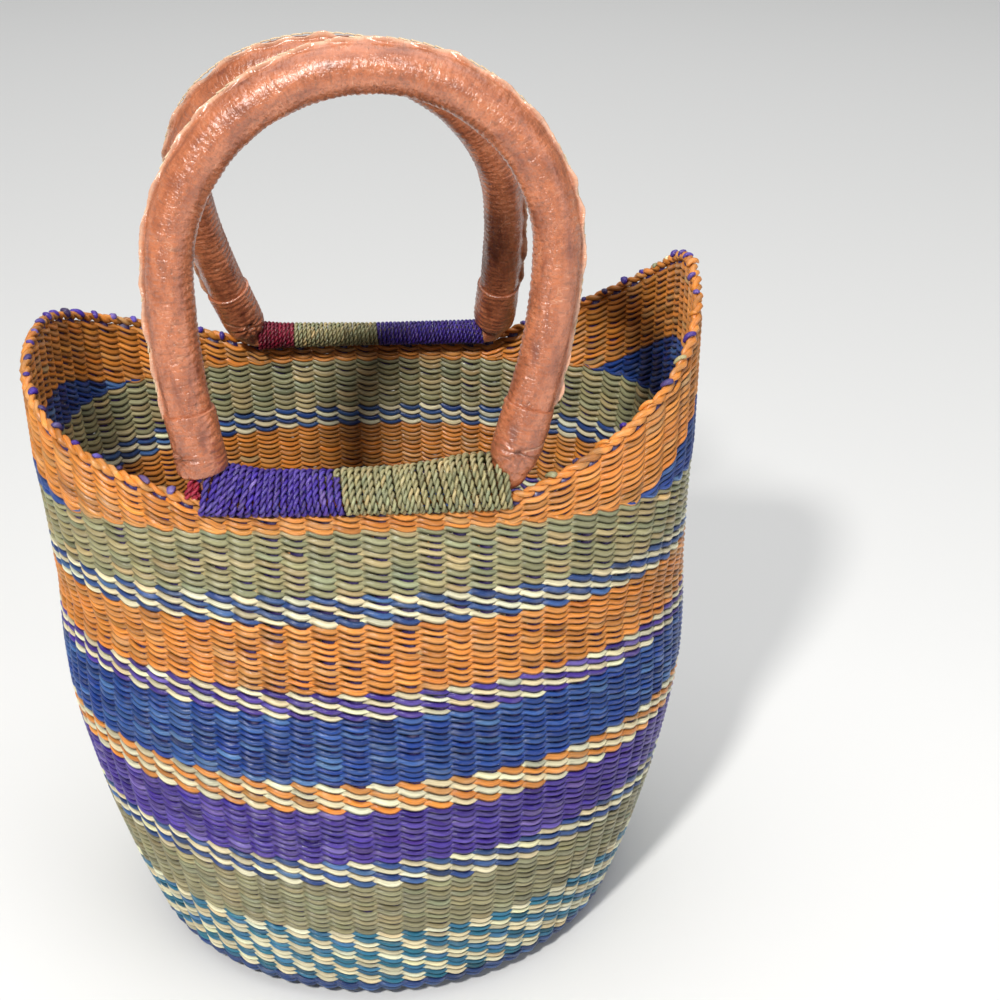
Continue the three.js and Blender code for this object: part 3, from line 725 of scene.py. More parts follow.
def foot_rows(material):
    """The rows of the foot, round its middle in ever more stitches, and up to the wall."""
    rng = np.random.default_rng(43)
    disc, ring = Straw(), Straw()
    length = FOOT_LINE[0][-1] - FOOT_START
    rows = int(round(length / FOOT_PITCH))
    pitch = length / rows
    for row in range(rows):
        distance = FOOT_START + (row + 0.5) * pitch
        radius = np.interp(distance, FOOT_LINE[0], FOOT_LINE[1])
        stitches = next((number for edge, number in FOOT_STITCHES if radius < edge), COLUMNS)
        columns = closed_columns(stitches)
        centres = foot_frame(columns / stitches * 2 * math.pi, np.full_like(columns, distance))
        target, dye = (disc, "purple") if distance < START_DISC_RADIUS else (ring, "navy")
        dyes = (dye, "cream" if row % 9 == 7 else dye)
        twined_row(target, (*centres, np.full(len(columns), pitch)), columns, True, dyes, row, rng)
    turn = np.linspace(0, 4 * math.pi, 40, endpoint=False)
    knot = np.c_[KNOT_RADIUS * circle(turn), FOOT_HEIGHTS[0] + 0.0009 * np.cos(turn / 2)]
    half = np.full(40, KNOT_STRAND)
    disc.tube(knot, np.tile([0.0, 0.0, 1.0], (40, 1)), half, half, dyed("purple", 40, rng), True)
    disc.finish("woven_start_disc", "basket", "straw_purple", material, ["base_start_disc"])
    ring.finish("woven_foot", "basket", "straw_navy", material, ["base_navy_rows"])


def stakes(material):
    """The stakes that run out from the foot and up inside the wall to the rim."""
    rng = np.random.default_rng(47)
    straw = Straw()
    for column in range(COLUMNS):
        start = STAKE_STARTS[0 if column % 6 == 0 else 1 if column % 2 == 0 else 2]
        distance = np.arange(start, FOOT_LINE[0][-1] - 0.002, STAKE_STEP)
        foot, out_foot, _ = foot_frame(np.full_like(distance, column / COLUMNS * 2 * math.pi), distance)
        top = float(wall_top(angle_at(np.array([float(column)]), np.array([SHOULDER_HEIGHT])))[0])
        heights = np.linspace(STAKE_TURN, top + 0.001, 44)
        wall, out_wall, _ = wall_frame(np.full_like(heights, float(column)), heights)
        path, out = np.concatenate([foot, wall]), np.concatenate([out_foot, out_wall])
        tint = dyed("stake", len(path), rng, fade=0.1)
        half_deep = np.full(len(path), STAKE_HALF_DEPTH)
        half_wide = np.interp(path[:, 2], *STAKE_HALF_WIDTHS)
        straw.tube(path, out, half_deep, half_wide, tint, False, start=rng.random() * 9)
    straw.finish("stakes", "basket", "straw_purple", material, [])


def rim_border(material):
    """The top row of twining along the rim, with the end of each stake folded down over it."""
    rng = np.random.default_rng(53)
    straw = Straw()
    columns = closed_columns()
    shoulder = np.full_like(columns, SHOULDER_HEIGHT)
    rod = border_point(angle_at(columns, shoulder))
    _, out, _ = wall_frame(columns, shoulder)
    up = unit(np.cross(out, np.roll(rod, -1, 0) - np.roll(rod, 1, 0)))
    bound = np.clip((NOTCH_HALF_LENGTH - np.abs(rod[:, 0])) / NOTCH_SLOPE + 0.5, 0, 1)
    stitch = np.floor(columns + 0.5).astype(int) % COLUMNS
    for strand in (0, 1):
        phase = math.pi * (2 * columns + strand)
        body = np.abs(np.cos(phase))
        swing = BORDER_SWING - BORDER_SQUEEZE * bound
        offset = out * (swing * np.cos(phase))[:, None] - up * (swing * np.sin(phase))[:, None]
        # Painted shade: each border stitch is darkened towards its ends, where the two strands cross, down to
        # 0.7 of its colour.
        tint = dyed("orange", COLUMNS, rng)[stitch] * (0.7 + 0.3 * body)[:, None]
        thick = (BORDER_STRAND + BORDER_SQUEEZE * (body - bound)) * rng.normal(1, 0.10, COLUMNS)[stitch]
        straw.tube(rod + offset, out, thick, thick, tint, True, start=rng.random() * 9, painted_shade=BORDER_PAINTED_SHADE)
    for column in range(COLUMNS):
        reach = rng.uniform(0.6, 1.15)
        turn = np.linspace(-reach, reach, 9) + rng.normal(-0.45, 0.3)
        place = column + 0.5 + np.linspace(-0.16, 0.16, 9) * rng.uniform(-0.5, 1.5)
        heights = np.full_like(place, SHOULDER_HEIGHT)
        centre = border_point(angle_at(place, heights))
        if np.abs(centre[:, 0]).min() < NOTCH_HALF_LENGTH + KNOB_CLEARANCE:
            continue
        _, away, along_up = wall_frame(place, heights)
        radial = away * np.sin(turn)[:, None] + along_up * np.cos(turn)[:, None]
        path = centre + radial * (KNOB_REACH + rng.normal(0, 0.0003))
        thick = KNOB_RADIUS * rng.uniform(0.70, 1.10) * (1 - 0.45 * np.linspace(-1, 1, 9) ** 2)
        tint = np.tile(dyed(KNOB_DYES[int(rng.integers(len(KNOB_DYES)))], 1, rng), (9, 1))
        straw.tube(path, radial, thick, thick * 1.6, tint, False, start=rng.random() * 9)
    straw.finish("plaited_border", "basket", "straw_orange", material, ["rim_border"])


# Bindings


def winding_loop(side, x, extra, flare, reach):
    """One closed loop round the bar and the border in the plane at x, extra away from both and flare
    more from the bar: points and lengths. reach is how far it goes towards the border, from 0 to 1."""
    border_y = MOUTH_HALF_DEPTH * (1 - (abs(x) / MOUTH_HALF_LENGTH) ** MOUTH_POWER) ** (1 / MOUTH_POWER)
    bar, border = np.array([BAR_Y, BAR_Z]), np.array([border_y, BORDER_HEIGHT])
    border = bar + (border - bar) * reach
    away = bar - border
    heading = math.atan2(away[1], away[0])
    contact = math.acos((BORDER_RADIUS - BAR_RADIUS) / np.hypot(*away))
    loop = np.concatenate([
        bar + (BAR_RADIUS + extra + flare) * circle(heading + np.linspace(-contact, contact, 18)),
        border + (BORDER_RADIUS + extra) * circle(heading + np.linspace(contact, 2 * math.pi - contact, 14)),
    ])
    loop = np.concatenate([loop, loop[:1]])
    return loop * [side, 1], distances(loop)


def binding(place, dye, first, last, material, seed):
    """A tight winding of two-ply cord between two places along the bar."""
    rng = np.random.default_rng(seed)
    radius = bpy.context.scene.basket_weave.cord_radius * CORD_SHARES[place]
    side = HANDLES[place]["side"]
    reach = CRIMSON_REACH if dye == "crimson" else 1.0
    turns = max(int(round((last - first) / (2 * radius * TURN_PITCH))), 1)
    count = turns * TURN_STEPS + 1
    wander = np.cumsum(rng.normal(0, TURN_WANDERS[place], turns + 2))
    wander -= np.linspace(wander[0], wander[-1], turns + 2)
    path, outward = np.empty((count, 3)), np.empty((count, 3))
    pitch = (last - first) / turns
    middle = np.array([side * (BAR_Y + MOUTH_HALF_DEPTH) / 2, (BAR_Z + BORDER_HEIGHT) / 2])
    for i in range(count):
        turn, share = divmod(i, TURN_STEPS)
        share /= TURN_STEPS
        x = first + pitch * (turn + share) + np.interp(turn + share, np.arange(turns + 2), wander) * 0.6
        x = min(max(x, first), last)
        loop, lengths = winding_loop(side, x, radius + CORD_GAP, np.interp(x, *FLARES[place]), reach)
        path[i, 1:] = [np.interp(share * lengths[-1], lengths, loop[:, k]) for k in (0, 1)]
        path[i, 0] = x + np.interp(x, *LEANS[place]) * (path[i, 2] - middle[1])
        outward[i] = [0, *(path[i, 1:] - middle)]
    along = directions(path)
    outward = square_to(along, outward)
    across = np.cross(along, outward)
    half = np.full(count, radius * PLY_RADIUS)
    straw = Straw()
    for ply in (0, 1):
        twist = distances(path) / (radius * TWIST_LENGTH) * 2 * math.pi + ply * math.pi
        offset = outward * np.cos(twist)[:, None] + across * np.sin(twist)[:, None]
        tint = dyed(dye, turns * 8 + 2, rng, 0.7)[np.arange(count) * 8 // TURN_STEPS]
        ply_path = path + offset * radius * PLY_OFFSET
        straw.tube(ply_path, offset, half, half * 1.05, tint, False, painted_shade=PLY_PAINTED_SHADE)
    name = f"{place}_binding_{dye}"
    straw.finish("wound_" + name, "basket", "cord_" + dye, material, [name])


# Handles


def leg_place(handle, height):
    share = (height - BAR_CORNER) / (WIDEST_HEIGHT - BAR_CORNER)
    foot = BAR_HALF_LENGTH + BAR_CORNER
    return foot + (handle["half_width"] - foot) * np.sin(share * math.pi / 2)


def swayed(handle, line):
    """A line of the ring, pushed along the bar by as much as the ring stands askew."""
    return line + np.outer(handle["sway"] * line[:, 1] / HANDLE_HEIGHT, [1, 0])


def ring_line(handle, start):
    """The ring's middle line from one leg, over the crown, to the other, in the ring's own plane."""
    legs = np.linspace(start, WIDEST_HEIGHT, 60, endpoint=False)
    crown = circle(np.linspace(0, math.pi / 2, 90)) * [handle["half_width"], HANDLE_HEIGHT - WIDEST_HEIGHT]
    right = np.concatenate([np.stack([leg_place(handle, legs), legs], -1), crown + [0, WIDEST_HEIGHT]])
    return swayed(handle, np.concatenate([right, right[-2::-1] * [-1, 1]]))


def bar_corner(count):
    """The curve from the bar up into one leg."""
    turn = np.linspace(0, math.pi / 2, count, endpoint=False)
    return np.stack([BAR_HALF_LENGTH + BAR_CORNER * np.sin(turn), BAR_CORNER * (1 - np.cos(turn))], -1)


def resample(line, step):
    lengths = distances(line)
    places = np.linspace(0, lengths[-1], max(int(lengths[-1] / step), 3))
    return np.stack([np.interp(places, lengths, line[:, k]) for k in range(line.shape[1])], -1), places


def to_frame(handle, points):
    """From the upright ring's own X, Y, Z to the part's frame."""
    angle = handle["side"] * handle["lean"]
    x, y, z = np.moveaxis(points, -1, 0)
    return np.stack([
        x + handle["offset"],
        y * math.cos(angle) - z * math.sin(angle) + handle["side"] * BAR_Y,
        y * math.sin(angle) + z * math.cos(angle) + BAR_Z,
    ], -1)


def ways_out(line, closed=False):
    """The way away from the ring's middle at each point of a line, in the ring's plane."""
    along = directions(line, closed)
    return np.stack([along[:, 1], -along[:, 0]], -1)


def swept_rows(line, sections, closed=False):
    """Rows of points from sections (u away from the ring's middle, v along Y) at each point of a line."""
    flat = line[:, None] + ways_out(line, closed)[:, None] * sections[..., :1]
    return np.stack([flat[..., 0], sections[..., 1], flat[..., 1]], -1)


def core_radius(heights):
    """The grass core's radius, which swells above the bar."""
    share = np.clip((heights - BAR_CORNER) / SWELL_LENGTH, 0, 1)
    return BAR_RADIUS + (CORE_RADIUS - BAR_RADIUS) * share


def shell_faces(rows, count):
    """Faces of a skin and a bore of equal point counts, joined at both ends."""
    index = np.arange(rows * count).reshape(rows, count)
    skin = quads(index[:-1], index[1:])
    base = rows * count
    start, end = index[0], index[-1]
    first = np.stack([start, start + base, np.roll(start, -1) + base, np.roll(start, -1)], -1)
    last = np.stack([end, np.roll(end, -1), np.roll(end, -1) + base, end + base], -1)
    return np.concatenate([skin, skin[:, ::-1] + base, first, last])


def scallop(place, seed):
    """The wave of the cut edge: straight runs between blunt points, unevenly spaced, from 0 to 1."""
    wave = (place / SCALLOP_LENGTH + 0.8 * noise.noise((place * 42, seed, 0))) % 1
    return min(1 - abs(2 * wave - 1), 0.85) / 0.85 * (0.65 + 0.7 * noise.noise((place * 60, seed, 3)))


def leather_shell(name, place, line, places, radius, bore, node, material, seam, folds, edges, seed):
    """A leather tube along a line. seam is the height of the raised seam at each point of the line. folds and
    edges are what gathers add to the radius and how much of a cut edge shows, at each point of the skin past
    the seam; a negative edge is painted shade in a fold."""
    rows, raised = len(line), len(SEAM_SHARES)
    turn = np.concatenate([np.zeros(raised), SKIN_ANGLES])
    count = len(turn)
    sections = np.empty((rows, count, 2))
    for i, s in enumerate(places):
        height = seam[i] * (0.40 + 0.50 * scallop(s, seed) + 0.10 * noise.noise((s * 160, seed, 5)))
        sway = SWAY * math.sin(s / SWAY_LENGTH * 2 * math.pi + 0.9) * min(seam[i] / 0.002, 1)
        swell = noise.noise((s * 38, seed, 9)) * SWELL_HEIGHT
        for j in range(count):
            c, d = math.cos(turn[j]), math.sin(turn[j])
            lump = swell + noise.noise((s * 75 + seed, c * 1.6, d * 1.6)) * LUMP_HEIGHT
            lump += noise.noise((s * 260 + seed, c * 3.2, d * 3.2)) * GRAIN_HEIGHT
            wave = s * 2 * math.pi / RIPPLE_LENGTH + 6 * noise.noise((s * 90, seed, d * 2))
            lump += (0.45 + max(-c, 0) * 0.75) * RIPPLE_HEIGHT * math.sin(wave)
            if j < raised:
                share = SEAM_SHARES[j]
                u = (radius[i] + lump) * 0.985 + height * share
                sections[i, j] = [u, SEAM_PLACES[j] + sway * share]
            else:
                r = radius[i] + lump + folds[i, j - raised]
                sections[i, j] = [r * c, r * d]
    edge = np.full((rows, count), 0.1)
    edge[:, 2:7] = 1.0
    edge[:, raised:] = edges
    inside = circle(turn)[None] * bore[:, None, None]
    inside[:, :raised, 1] = np.array(SEAM_PLACES) * 0.5
    points = np.concatenate([swept_rows(line, part).reshape(-1, 3) for part in (sections, inside)])
    piece = make_piece(name, to_frame(HANDLES[place], points), shell_faces(rows, count))
    add_attribute(piece, "skin", "FLOAT_VECTOR", np.stack([tube_places(places, turn)] * 2))
    add_attribute(piece, "edge", "FLOAT", np.stack([edge, edge * 0]))
    settle(piece, f"{place}_handle", material, [node])


def leather_cover(place, material):
    """The hide sewn round the ring, with its two cut edges standing up along the outside."""
    line, places = resample(ring_line(HANDLES[place], CUFF_TOP + 0.0003), LEATHER_STEP)
    rows = len(line)
    plain = np.zeros((rows, len(SKIN_ANGLES)))
    leather_shell(
        f"{place}_leather", place, line, places, np.full(rows, LEATHER_RADIUS - 0.0001),
        np.full(rows, CORE_RADIUS + 0.0004), f"{place}_leather_cover", material,
        np.full(rows, SEAM_HEIGHT), plain, plain, 11 if place == "front" else 23,
    )


def foot_line(handle, side, top):
    """The core's middle line from the end of the bar, round the corner and up one leg, and its places."""
    heights = np.linspace(BAR_CORNER, top, 40)
    line = np.concatenate([
        [[BAR_HALF_LENGTH - 0.0002, 0]], bar_corner(10), np.stack([leg_place(handle, heights), heights], -1),
    ])
    return resample(swayed(handle, line * [side, 1]), CUFF_STEP)


def bump(place, width):
    """A smooth hill, 1 high where place is 0."""
    return np.exp(-((place / width) ** 2))


def cuff(place, side, material):
    """The end of the hide, pinched together over the foot of one leg and lapped at its top."""
    line, places = foot_line(HANDLES[place], side, CUFF_TOP + 0.002)
    pinch_place, pinch_angle, blunt = PINCHES[place, side]
    radius = np.interp(places, *TAPERED_END) * (1 - blunt) + np.interp(places, *SQUARE_END) * blunt
    around = (SKIN_ANGLES - math.radians(pinch_angle) + math.pi) % (2 * math.pi) - math.pi
    up = (places - pinch_place)[:, None]
    across = (around * FOLD_REACH)[None]
    away = np.hypot(up, across)
    spokes = np.sin(np.arctan2(up, across) * FOLD_COUNT + 70 * away)
    reach = np.clip(away / 0.0016, 0, 1) * bump(away, FOLD_REACH) * np.where(up < 0.001, 1, 0.4)
    hollow = bump(away, HOLLOW_RADIUS)
    folds = FOLD_HEIGHT * spokes * reach - HOLLOW_DEPTH * hollow
    folds *= np.clip((places - 0.004) / 0.003, 0, 1)[:, None]
    lap = pinch_place + LAP_CLIMB * np.clip(around / 1.7, 0, 1) ** 0.7 - places[:, None]
    lapped = np.clip(around / 0.15, 0, 1) * np.clip((1.9 - around) / 0.3, 0, 1)
    folds -= LAP_DEPTH * bump(lap + 0.0003, 0.0004) * lapped
    cut = bump(places - SQUARE_CUT, 0.00045) * blunt * 0.7 + bump(places, 0.0006) * 0.6
    # Painted shade in the valleys of the folds and in the pinch's hollow, carried as negative edge values.
    painted_fold_shade = np.clip(-spokes, 0, 1) ** 2 * reach * 0.75 + hollow
    edges = np.clip(0.9 * bump(lap, 0.00032) * lapped + cut[:, None] - painted_fold_shade, -1, 1)
    bore = np.minimum(core_radius(line[:, 1]) + 0.0004, radius - 0.0009)
    if side < 0:
        line, radius, folds, places, edges, bore = (
            values[::-1] for values in (line, radius, folds, places, edges, bore)
        )
    word = "right" if side > 0 else "left"
    leather_shell(
        f"{place}_gathered_cuff_{word}", place, line, places, radius, bore, f"{place}_cuff_{word}", material,
        np.full(len(line), 0.0002), folds, edges, 31 + side * 4 + (place == "back") * 17,
    )


def seam_thread(place, material):
    """The lacing along the seam: small slanting stitches through its two edges."""
    handle = HANDLES[place]
    line, _ = resample(ring_line(handle, CUFF_TOP + 0.003), LACING_STEP)
    away = ways_out(line)
    straw = Straw()
    rng = np.random.default_rng(61)
    thread = np.array(bpy.context.scene.basket_leather.thread)
    t = np.linspace(0, 1, 5)[:, None]
    lift = 0.0011 + 0.0004 * np.sin(t[:, 0] * math.pi)
    half = np.full(5, THREAD_RADIUS)
    for i in range(len(line) - 1):
        start = line[i] + away[i] * (LEATHER_RADIUS + LACING_HEIGHTS[0])
        end = line[i + 1] + away[i + 1] * (LEATHER_RADIUS + LACING_HEIGHTS[1])
        flat = start * (1 - t) + end * t
        path = to_frame(handle, np.stack([flat[:, 0], lift, flat[:, 1]], -1))
        tint = np.tile(thread * rng.normal(1, 0.08), (5, 1))
        straw.tube(path, np.tile([0.0, 1.0, 0.0], (5, 1)), half, half, np.clip(tint, 0, 0.9), False)
    name = f"{place}_seam_lacing"
    straw.finish(name, f"{place}_handle", "seam_thread", material, [f"{place}_seam_thread"])


def grip_core(place, material):
    """The grass ring inside the leather, with the straw that is wrapped round it."""
    handle = HANDLES[place]
    bar = np.stack([np.linspace(0, BAR_HALF_LENGTH, 30, endpoint=False), np.zeros(30)], -1)
    half = np.concatenate([bar, bar_corner(8)])
    right, left = swayed(handle, half), swayed(handle, (half * [-1, 1])[::-1])
    line = np.concatenate([right, ring_line(handle, BAR_CORNER), left[:-1]])
    line, places = resample(np.concatenate([line, line[:1]]), CORE_STEP)
    line, places = line[:-1], places[:-1]
    radius = core_radius(line[:, 1]) - 0.00025
    in_winding = np.clip((BAR_THIN_END - np.abs(line[:, 0])) / 0.010, 0, 1) * (line[:, 1] < BAR_CORNER)
    radius -= BAR_THINNING * in_winding
    turn = np.arange(12) / 12 * 2 * math.pi
    length = radius[:, None] + WRAP_HEIGHT * np.cos(places[:, None] / WRAP_LENGTH * 2 * math.pi + turn)
    rings = swept_rows(line, length[..., None] * circle(turn), True)
    straw = Straw()
    tint = dyed("undyed", len(line), np.random.default_rng(67))
    straw.add(to_frame(handle, rings), tint, tube_places(places, turn), True)
    straw.finish(f"{place}_core", f"{place}_handle", "grass_core", material, [f"{place}_grip_core"])


# Materials


def put(tree, *pairs):
    """Gives the socket of each pair a number or a colour, or links another socket to it."""
    for socket, value in pairs:
        if isinstance(value, bpy.types.NodeSocket):
            tree.links.new(value, socket)
        else:
            socket.default_value = (*value, 1) if isinstance(value, tuple) else value


def new_group(name, inputs):
    """A node group that gives a colour, a roughness and a height, with its inner inputs and outputs."""
    group = bpy.data.node_groups.new(name, "ShaderNodeTree")
    for socket, kind, value in inputs:
        made = group.interface.new_socket(socket, in_out="INPUT", socket_type="NodeSocket" + kind)
        if value is not None:
            made.default_value = value
    for socket, kind in (("Colour", "Color"), ("Roughness", "Float"), ("Height", "Float")):
        group.interface.new_socket(socket, in_out="OUTPUT", socket_type="NodeSocket" + kind)
    given, result = group.nodes.new("NodeGroupInput"), group.nodes.new("NodeGroupOutput")
    return group, given.outputs, result.inputs


def add_noise(tree, vector, stretch, detail, roughness=0.55):
    """Noise over a vector whose three parts are stretched."""
    mapping, node = tree.nodes.new("ShaderNodeMapping"), tree.nodes.new("ShaderNodeTexNoise")
    mapping.inputs["Scale"].default_value = stretch
    given = node.inputs
    put(
        tree, (mapping.inputs["Vector"], vector), (given["Vector"], mapping.outputs["Vector"]),
        (given["Scale"], 1), (given["Detail"], detail), (given["Roughness"], roughness),
    )
    return node.outputs["Fac"]


def add_math(tree, operation, *values, clamp=False):
    node = tree.nodes.new("ShaderNodeMath")
    node.operation, node.use_clamp = operation, clamp
    put(tree, *zip(node.inputs, values))
    return node.outputs["Value"]


def clamped(tree, operation, *values):
    return add_math(tree, operation, *values, clamp=True)


def add_mix(tree, factor, first, second, blend="MIX"):
    node = tree.nodes.new("ShaderNodeMix")
    node.data_type, node.blend_type = "RGBA", blend
    put(tree, (node.inputs["Factor"], factor), (node.inputs["A"], first), (node.inputs["B"], second))
    return node.outputs["Result"]


def straw_group():
    """Fibres that run along a strand: streaks of colour, fine ridges and a gloss that comes and goes."""
    group, given, result = new_group(
        "straw_fibres", [("Fibre", "Vector", None), ("Colour", "Color", (0.5, 0.4, 0.2, 1))]
    )
    streak = add_noise(group, given["Fibre"], (110, 3.2, 3.2), 3)
    ridge = add_noise(group, given["Fibre"], (160, 7, 7), 2)
    blotch = add_noise(group, given["Fibre"], (190, 0.6, 0.6), 1)
    dark = add_math(group, "MULTIPLY_ADD", streak, 1.1, 0.45)
    shade = add_mix(group, 1.0, given["Colour"], dark, "MULTIPLY")
    pale = clamped(group, "MULTIPLY", clamped(group, "SUBTRACT", blotch, 0.56), 0.9)
    paler = add_mix(group, 0.45, shade, (0.72, 0.68, 0.58))
    put(
        group, (result["Colour"], add_mix(group, pale, shade, paler)),
        (result["Roughness"], add_math(group, "MULTIPLY_ADD", ridge, 0.35, 0.13)), (result["Height"], ridge),
    )
    return group


def hide_group():
    """Tanned hide: mottled colour, fine grain, creases across the inside of a bend with painted shade in
    their valleys, a cut edge, and painted shade where the edge is negative.
    """
    group, given, result = new_group("tanned_hide", [
        ("Skin", "Vector", None), ("Edge", "Float", 0.0), ("Dark", "Color", (0.2, 0.1, 0.05, 1)),
        ("Light", "Color", (0.6, 0.3, 0.15, 1)), ("Cut", "Color", (0.7, 0.5, 0.4, 1)),
    ])
    skin, edge, cut = given["Skin"], given["Edge"], given["Cut"]
    parts = group.nodes.new("ShaderNodeSeparateXYZ")
    put(group, (parts.inputs["Vector"], skin))
    inside = add_math(group, "MULTIPLY_ADD", parts.outputs["Y"], -0.5, 0.55)
    mottle = add_noise(group, skin, (80, 1.5, 1.5), 5, 0.65)
    speckle = add_noise(group, skin, (900, 6.5, 6.5), 3)
    crease = add_noise(group, skin, (620, 1.3, 1.3), 3)
    scar = add_noise(group, skin, (230, 0.8, 0.8), 2)
    share = add_math(group, "MULTIPLY_ADD", mottle, 3.4, -1.15)
    share = clamped(group, "ADD", share, add_math(group, "MULTIPLY", speckle, 0.35))
    colour = add_mix(group, share, given["Dark"], given["Light"])
    spots = clamped(group, "MULTIPLY", clamped(group, "SUBTRACT", 0.44, speckle), 6.0)
    colour = add_mix(group, add_math(group, "MULTIPLY", spots, inside), colour, (0.20, 0.075, 0.033))
    # Painted shade: the colour darkens to a dark brown in the valleys of the crease bump.
    painted_crease_shade = clamped(group, "MULTIPLY", clamped(group, "SUBTRACT", 0.43, crease), 4.0)
    colour = add_mix(group, add_math(group, "MULTIPLY", painted_crease_shade, 0.8), colour, (0.17, 0.062, 0.028))
    line = add_math(group, "ABSOLUTE", add_math(group, "SUBTRACT", scar, 0.5))
    line = clamped(group, "SUBTRACT", 1, add_math(group, "MULTIPLY", line, 70))
    line = clamped(group, "MULTIPLY", line, add_math(group, "MULTIPLY_ADD", mottle, 6, -2.9))
    colour = add_mix(group, add_math(group, "MULTIPLY", line, 0.7), colour, cut)
    # Painted shade: negative edge values darken the colour towards a dark brown, in the folds of the cuffs.
    colour = add_mix(group, clamped(group, "MULTIPLY", edge, -0.85), colour, (0.13, 0.045, 0.022))
    colour = add_mix(group, clamped(group, "MULTIPLY", edge, 1), colour, cut)
    put(
        group, (result["Colour"], colour),
        (result["Roughness"], add_math(group, "MULTIPLY_ADD", mottle, -0.4, 0.46)),
        (result["Height"], add_math(group, "ADD", speckle, add_math(group, "MULTIPLY", crease, 1.3))),
    )
    return group


def new_material(name, group, attributes, strength, distance, specular):
    """A material led by a node group, which reads mesh attributes listed as (attribute, its output, the
    group's input), and the inputs of the group and of the shader."""
    material = bpy.data.materials.new(name)
    material.use_nodes = True
    tree = material.node_tree
    shader, relief = tree.nodes["Principled BSDF"], tree.nodes.new("ShaderNodeBump")
    node = tree.nodes.new("ShaderNodeGroup")
    node.node_tree = group
    for attribute, output, given in attributes:
        source = tree.nodes.new("ShaderNodeAttribute")
        source.attribute_name = attribute
        put(tree, (node.inputs[given], source.outputs[output]))
    put(
        tree, (relief.inputs["Strength"], strength), (relief.inputs["Distance"], distance),
        (relief.inputs["Height"], node.outputs["Height"]),
        (shader.inputs["Normal"], relief.outputs["Normal"]),
        (shader.inputs["Base Color"], node.outputs["Colour"]),
        (shader.inputs["Roughness"], node.outputs["Roughness"]),
        (shader.inputs["Specular IOR Level"], specular),
    )
    return material, node.inputs, shader.inputs


def dyed_straw():
    if "dyed_straw" not in bpy.data.materials:
        reads = [("tint", "Color", "Colour"), ("fibre", "Vector", "Fibre")]
        new_material("dyed_straw", straw_group(), reads, 0.55, 0.0003, 0.5)
    return bpy.data.materials["dyed_straw"]


def tanned_leather():
    if "tanned_leather" not in bpy.data.materials:
        reads = [("skin", "Vector", "Skin"), ("edge", "Fac", "Edge")]
        material, hide, shader = new_material("tanned_leather", hide_group(), reads, 0.9, 0.0005, 0.8)
        sizes = bpy.context.scene.basket_leather
        put(
            material.node_tree, (hide["Dark"], tuple(sizes.dark)), (hide["Light"], tuple(sizes.light)),
            (hide["Cut"], tuple(sizes.edge)), (shader["Coat Weight"], 0.35), (shader["Coat Roughness"], 0.32),
        )
    return bpy.data.materials["tanned_leather"]


# Stage


def make_camera():
    """A camera at the photograph's height, tilt and distance."""
    data = bpy.data.cameras.new("camera")
    data.sensor_width, data.lens = 36, CAMERA_LENS
    data.clip_start, data.clip_end = 0.01, 20
    camera = add_object("camera", data)
    turn = Matrix.Rotation(-CAMERA_TURN, 3, "Z")
    right = turn @ Vector((1, 0, 0))
    ahead = turn @ Vector((0, math.cos(CAMERA_TILT), -math.sin(CAMERA_TILT)))
    sides = (right, right.cross(ahead), -ahead, turn @ Vector(CAMERA_PLACE))
    camera.matrix_world = Matrix([[side[axis] for side in sides] for axis in range(3)] + [[0, 0, 0, 1]])
    bpy.context.scene.camera = camera


def add_lamp(name, place, target, size, power, colour):
    data = bpy.data.lights.new(name, "AREA")
    data.shape, data.size, data.energy, data.color = "DISK", size, power, colour
    lamp = add_object(name, data)
    lamp.location = place
    lamp.rotation_euler = (Vector(target) - Vector(place)).to_track_quat("-Z", "Y").to_euler()


def make_lights():
    add_lamp("key", (-0.32, -0.87, 1.05), (0, 0, 0.16), 0.12, 14.6, (1, 0.98, 0.95))
    add_lamp("fill", (1.3, -0.9, 0.8), (0, 0, 0.15), 1.2, 7, (0.95, 0.97, 1))
    add_lamp("overhead", (0, 1.2, 3.4), (0, 1.2, 0), 5.5, 112, (1, 1, 1))


def make_world():
    """A dim room that the camera sees as a pale one."""
    world = bpy.data.worlds.new("room")
    bpy.context.scene.world = world
    world.use_nodes = True
    tree = world.node_tree
    light, seen = tree.nodes["Background"], tree.nodes.new("ShaderNodeBackground")
    rays, mix = tree.nodes.new("ShaderNodeLightPath").outputs, tree.nodes.new("ShaderNodeMixShader")
    shown = add_math(tree, "MAXIMUM", rays["Is Camera Ray"], rays["Is Transmission Ray"])
    put(
        tree, (light.inputs["Color"], (0.86, 0.88, 0.9)), (light.inputs["Strength"], 0.20),
        (seen.inputs["Color"], (0.87, 0.87, 0.86)), (mix.inputs["Fac"], shown),
        (mix.inputs[1], light.outputs[0]), (mix.inputs[2], seen.outputs[0]),
        (tree.nodes["World Output"].inputs["Surface"], mix.outputs[0]),
    )


def make_floor():
    bpy.ops.object.select_all(action="DESELECT")
    bpy.ops.mesh.primitive_plane_add(size=12, location=(0, 0, -0.0004))
    floor = bpy.context.active_object
    floor.name = "floor"
    bpy.ops.object.transform_apply(location=True)
    material = bpy.data.materials.new("pale_floor")
    material.use_nodes = True
    shader = material.node_tree.nodes["Principled BSDF"].inputs
    put(material.node_tree, (shader["Base Color"], (0.80, 0.80, 0.79)), (shader["Roughness"], 0.9))
    floor.data.materials.append(material)


# Operators


class BASKET_OT_foot(bpy.types.Operator):
    """Twine the foot from its middle out to the wall"""

    bl_idname = "basket.foot"
    bl_label = "Woven foot"

    def execute(self, context):
        foot_rows(dyed_straw())
        return {"FINISHED"}


class BASKET_OT_stakes(bpy.types.Operator):
    """Run the stakes from the foot up to the rim"""

    bl_idname = "basket.stakes"
    bl_label = "Stakes"

    def execute(self, context):
        stakes(dyed_straw())
        return {"FINISHED"}


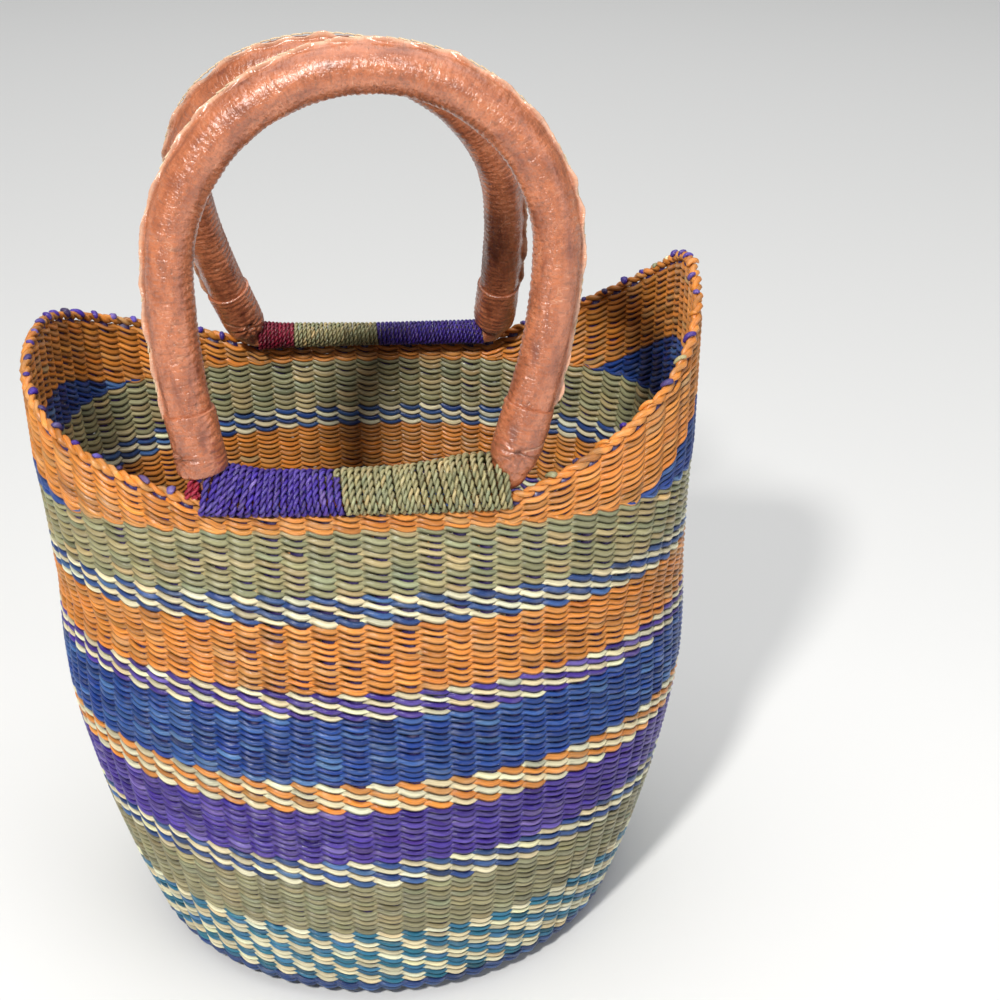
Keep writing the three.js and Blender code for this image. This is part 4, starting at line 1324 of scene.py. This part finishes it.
class BASKET_OT_bands(bpy.types.Operator):
    """Twine the level bands of the wall, from the foot up"""

    bl_idname = "basket.bands"
    bl_label = "Colour bands"

    def execute(self, context):
        low = FOOT_TOP
        for seed, (name, height, rows, dyes) in enumerate(BANDS):
            level_band(name, low, low + height, rows, dyes, dyed_straw(), seed)
            low += height
        return {"FINISHED"}


class BASKET_OT_rim(bpy.types.Operator):
    """Twine the rim band and its crescents, and plait the border along the top"""

    bl_idname = "basket.rim"
    bl_label = "Rim and border"

    def execute(self, context):
        rim_bands(dyed_straw())
        rim_border(dyed_straw())
        return {"FINISHED"}


class BASKET_OT_bindings(bpy.types.Operator):
    """Wind the bindings round the handles' bars and the border"""

    bl_idname = "basket.bindings"
    bl_label = "Bindings"

    def execute(self, context):
        runs = [(place, *run) for place in BINDINGS for run in BINDINGS[place]]
        for seed, (place, dye, first, last) in enumerate(runs, 71):
            binding(place, dye, first, last, dyed_straw(), seed)
        return {"FINISHED"}


class BASKET_OT_handles(bpy.types.Operator):
    """Make both handles: core, leather, cuffs and lacing"""

    bl_idname = "basket.handles"
    bl_label = "Handles"

    def execute(self, context):
        for place in HANDLES:
            grip_core(place, dyed_straw())
            leather_cover(place, tanned_leather())
            for side in (-1, 1):
                cuff(place, side, tanned_leather())
            seam_thread(place, dyed_straw())
        return {"FINISHED"}


class BASKET_OT_stage(bpy.types.Operator):
    """Set the camera, the lights, the world and the floor"""

    bl_idname = "basket.stage"
    bl_label = "Stage"

    def execute(self, context):
        make_camera()
        make_lights()
        make_world()
        make_floor()
        bpy.context.scene.view_settings.view_transform = "Standard"
        return {"FINISHED"}


class BASKET_PT_panel(bpy.types.Panel):
    """Lists the basket's pieces and its settings"""

    bl_idname = "BASKET_PT_panel"
    bl_label = "Basket"
    bl_space_type = "VIEW_3D"
    bl_region_type = "UI"
    bl_category = "Basket"

    def draw(self, context):
        for operator in OPERATORS:
            self.layout.operator(operator.bl_idname)
        for name in SETTINGS:
            settings = getattr(context.scene, name)
            for key in settings.__annotations__:
                self.layout.prop(settings, key)


SETTINGS = {"basket_dyes": BasketDyes, "basket_weave": BasketWeave, "basket_leather": BasketLeather}
OPERATORS = (
    BASKET_OT_foot, BASKET_OT_stakes, BASKET_OT_bands, BASKET_OT_rim,
    BASKET_OT_bindings, BASKET_OT_handles, BASKET_OT_stage,
)
CLASSES = (*SETTINGS.values(), *OPERATORS, BASKET_PT_panel)


def register():
    for cls in CLASSES:
        bpy.utils.register_class(cls)
    for name, group in SETTINGS.items():
        setattr(bpy.types.Scene, name, bpy.props.PointerProperty(type=group))


def unregister():
    for name in SETTINGS:
        delattr(bpy.types.Scene, name)
    for cls in reversed(CLASSES):
        bpy.utils.unregister_class(cls)


def main():
    register()
    bpy.ops.basket.foot()
    bpy.ops.basket.stakes()
    bpy.ops.basket.bands()
    bpy.ops.basket.rim()
    bpy.ops.basket.bindings()
    bpy.ops.basket.handles()
    bpy.ops.basket.stage()


if __name__ == "__main__":
    main()
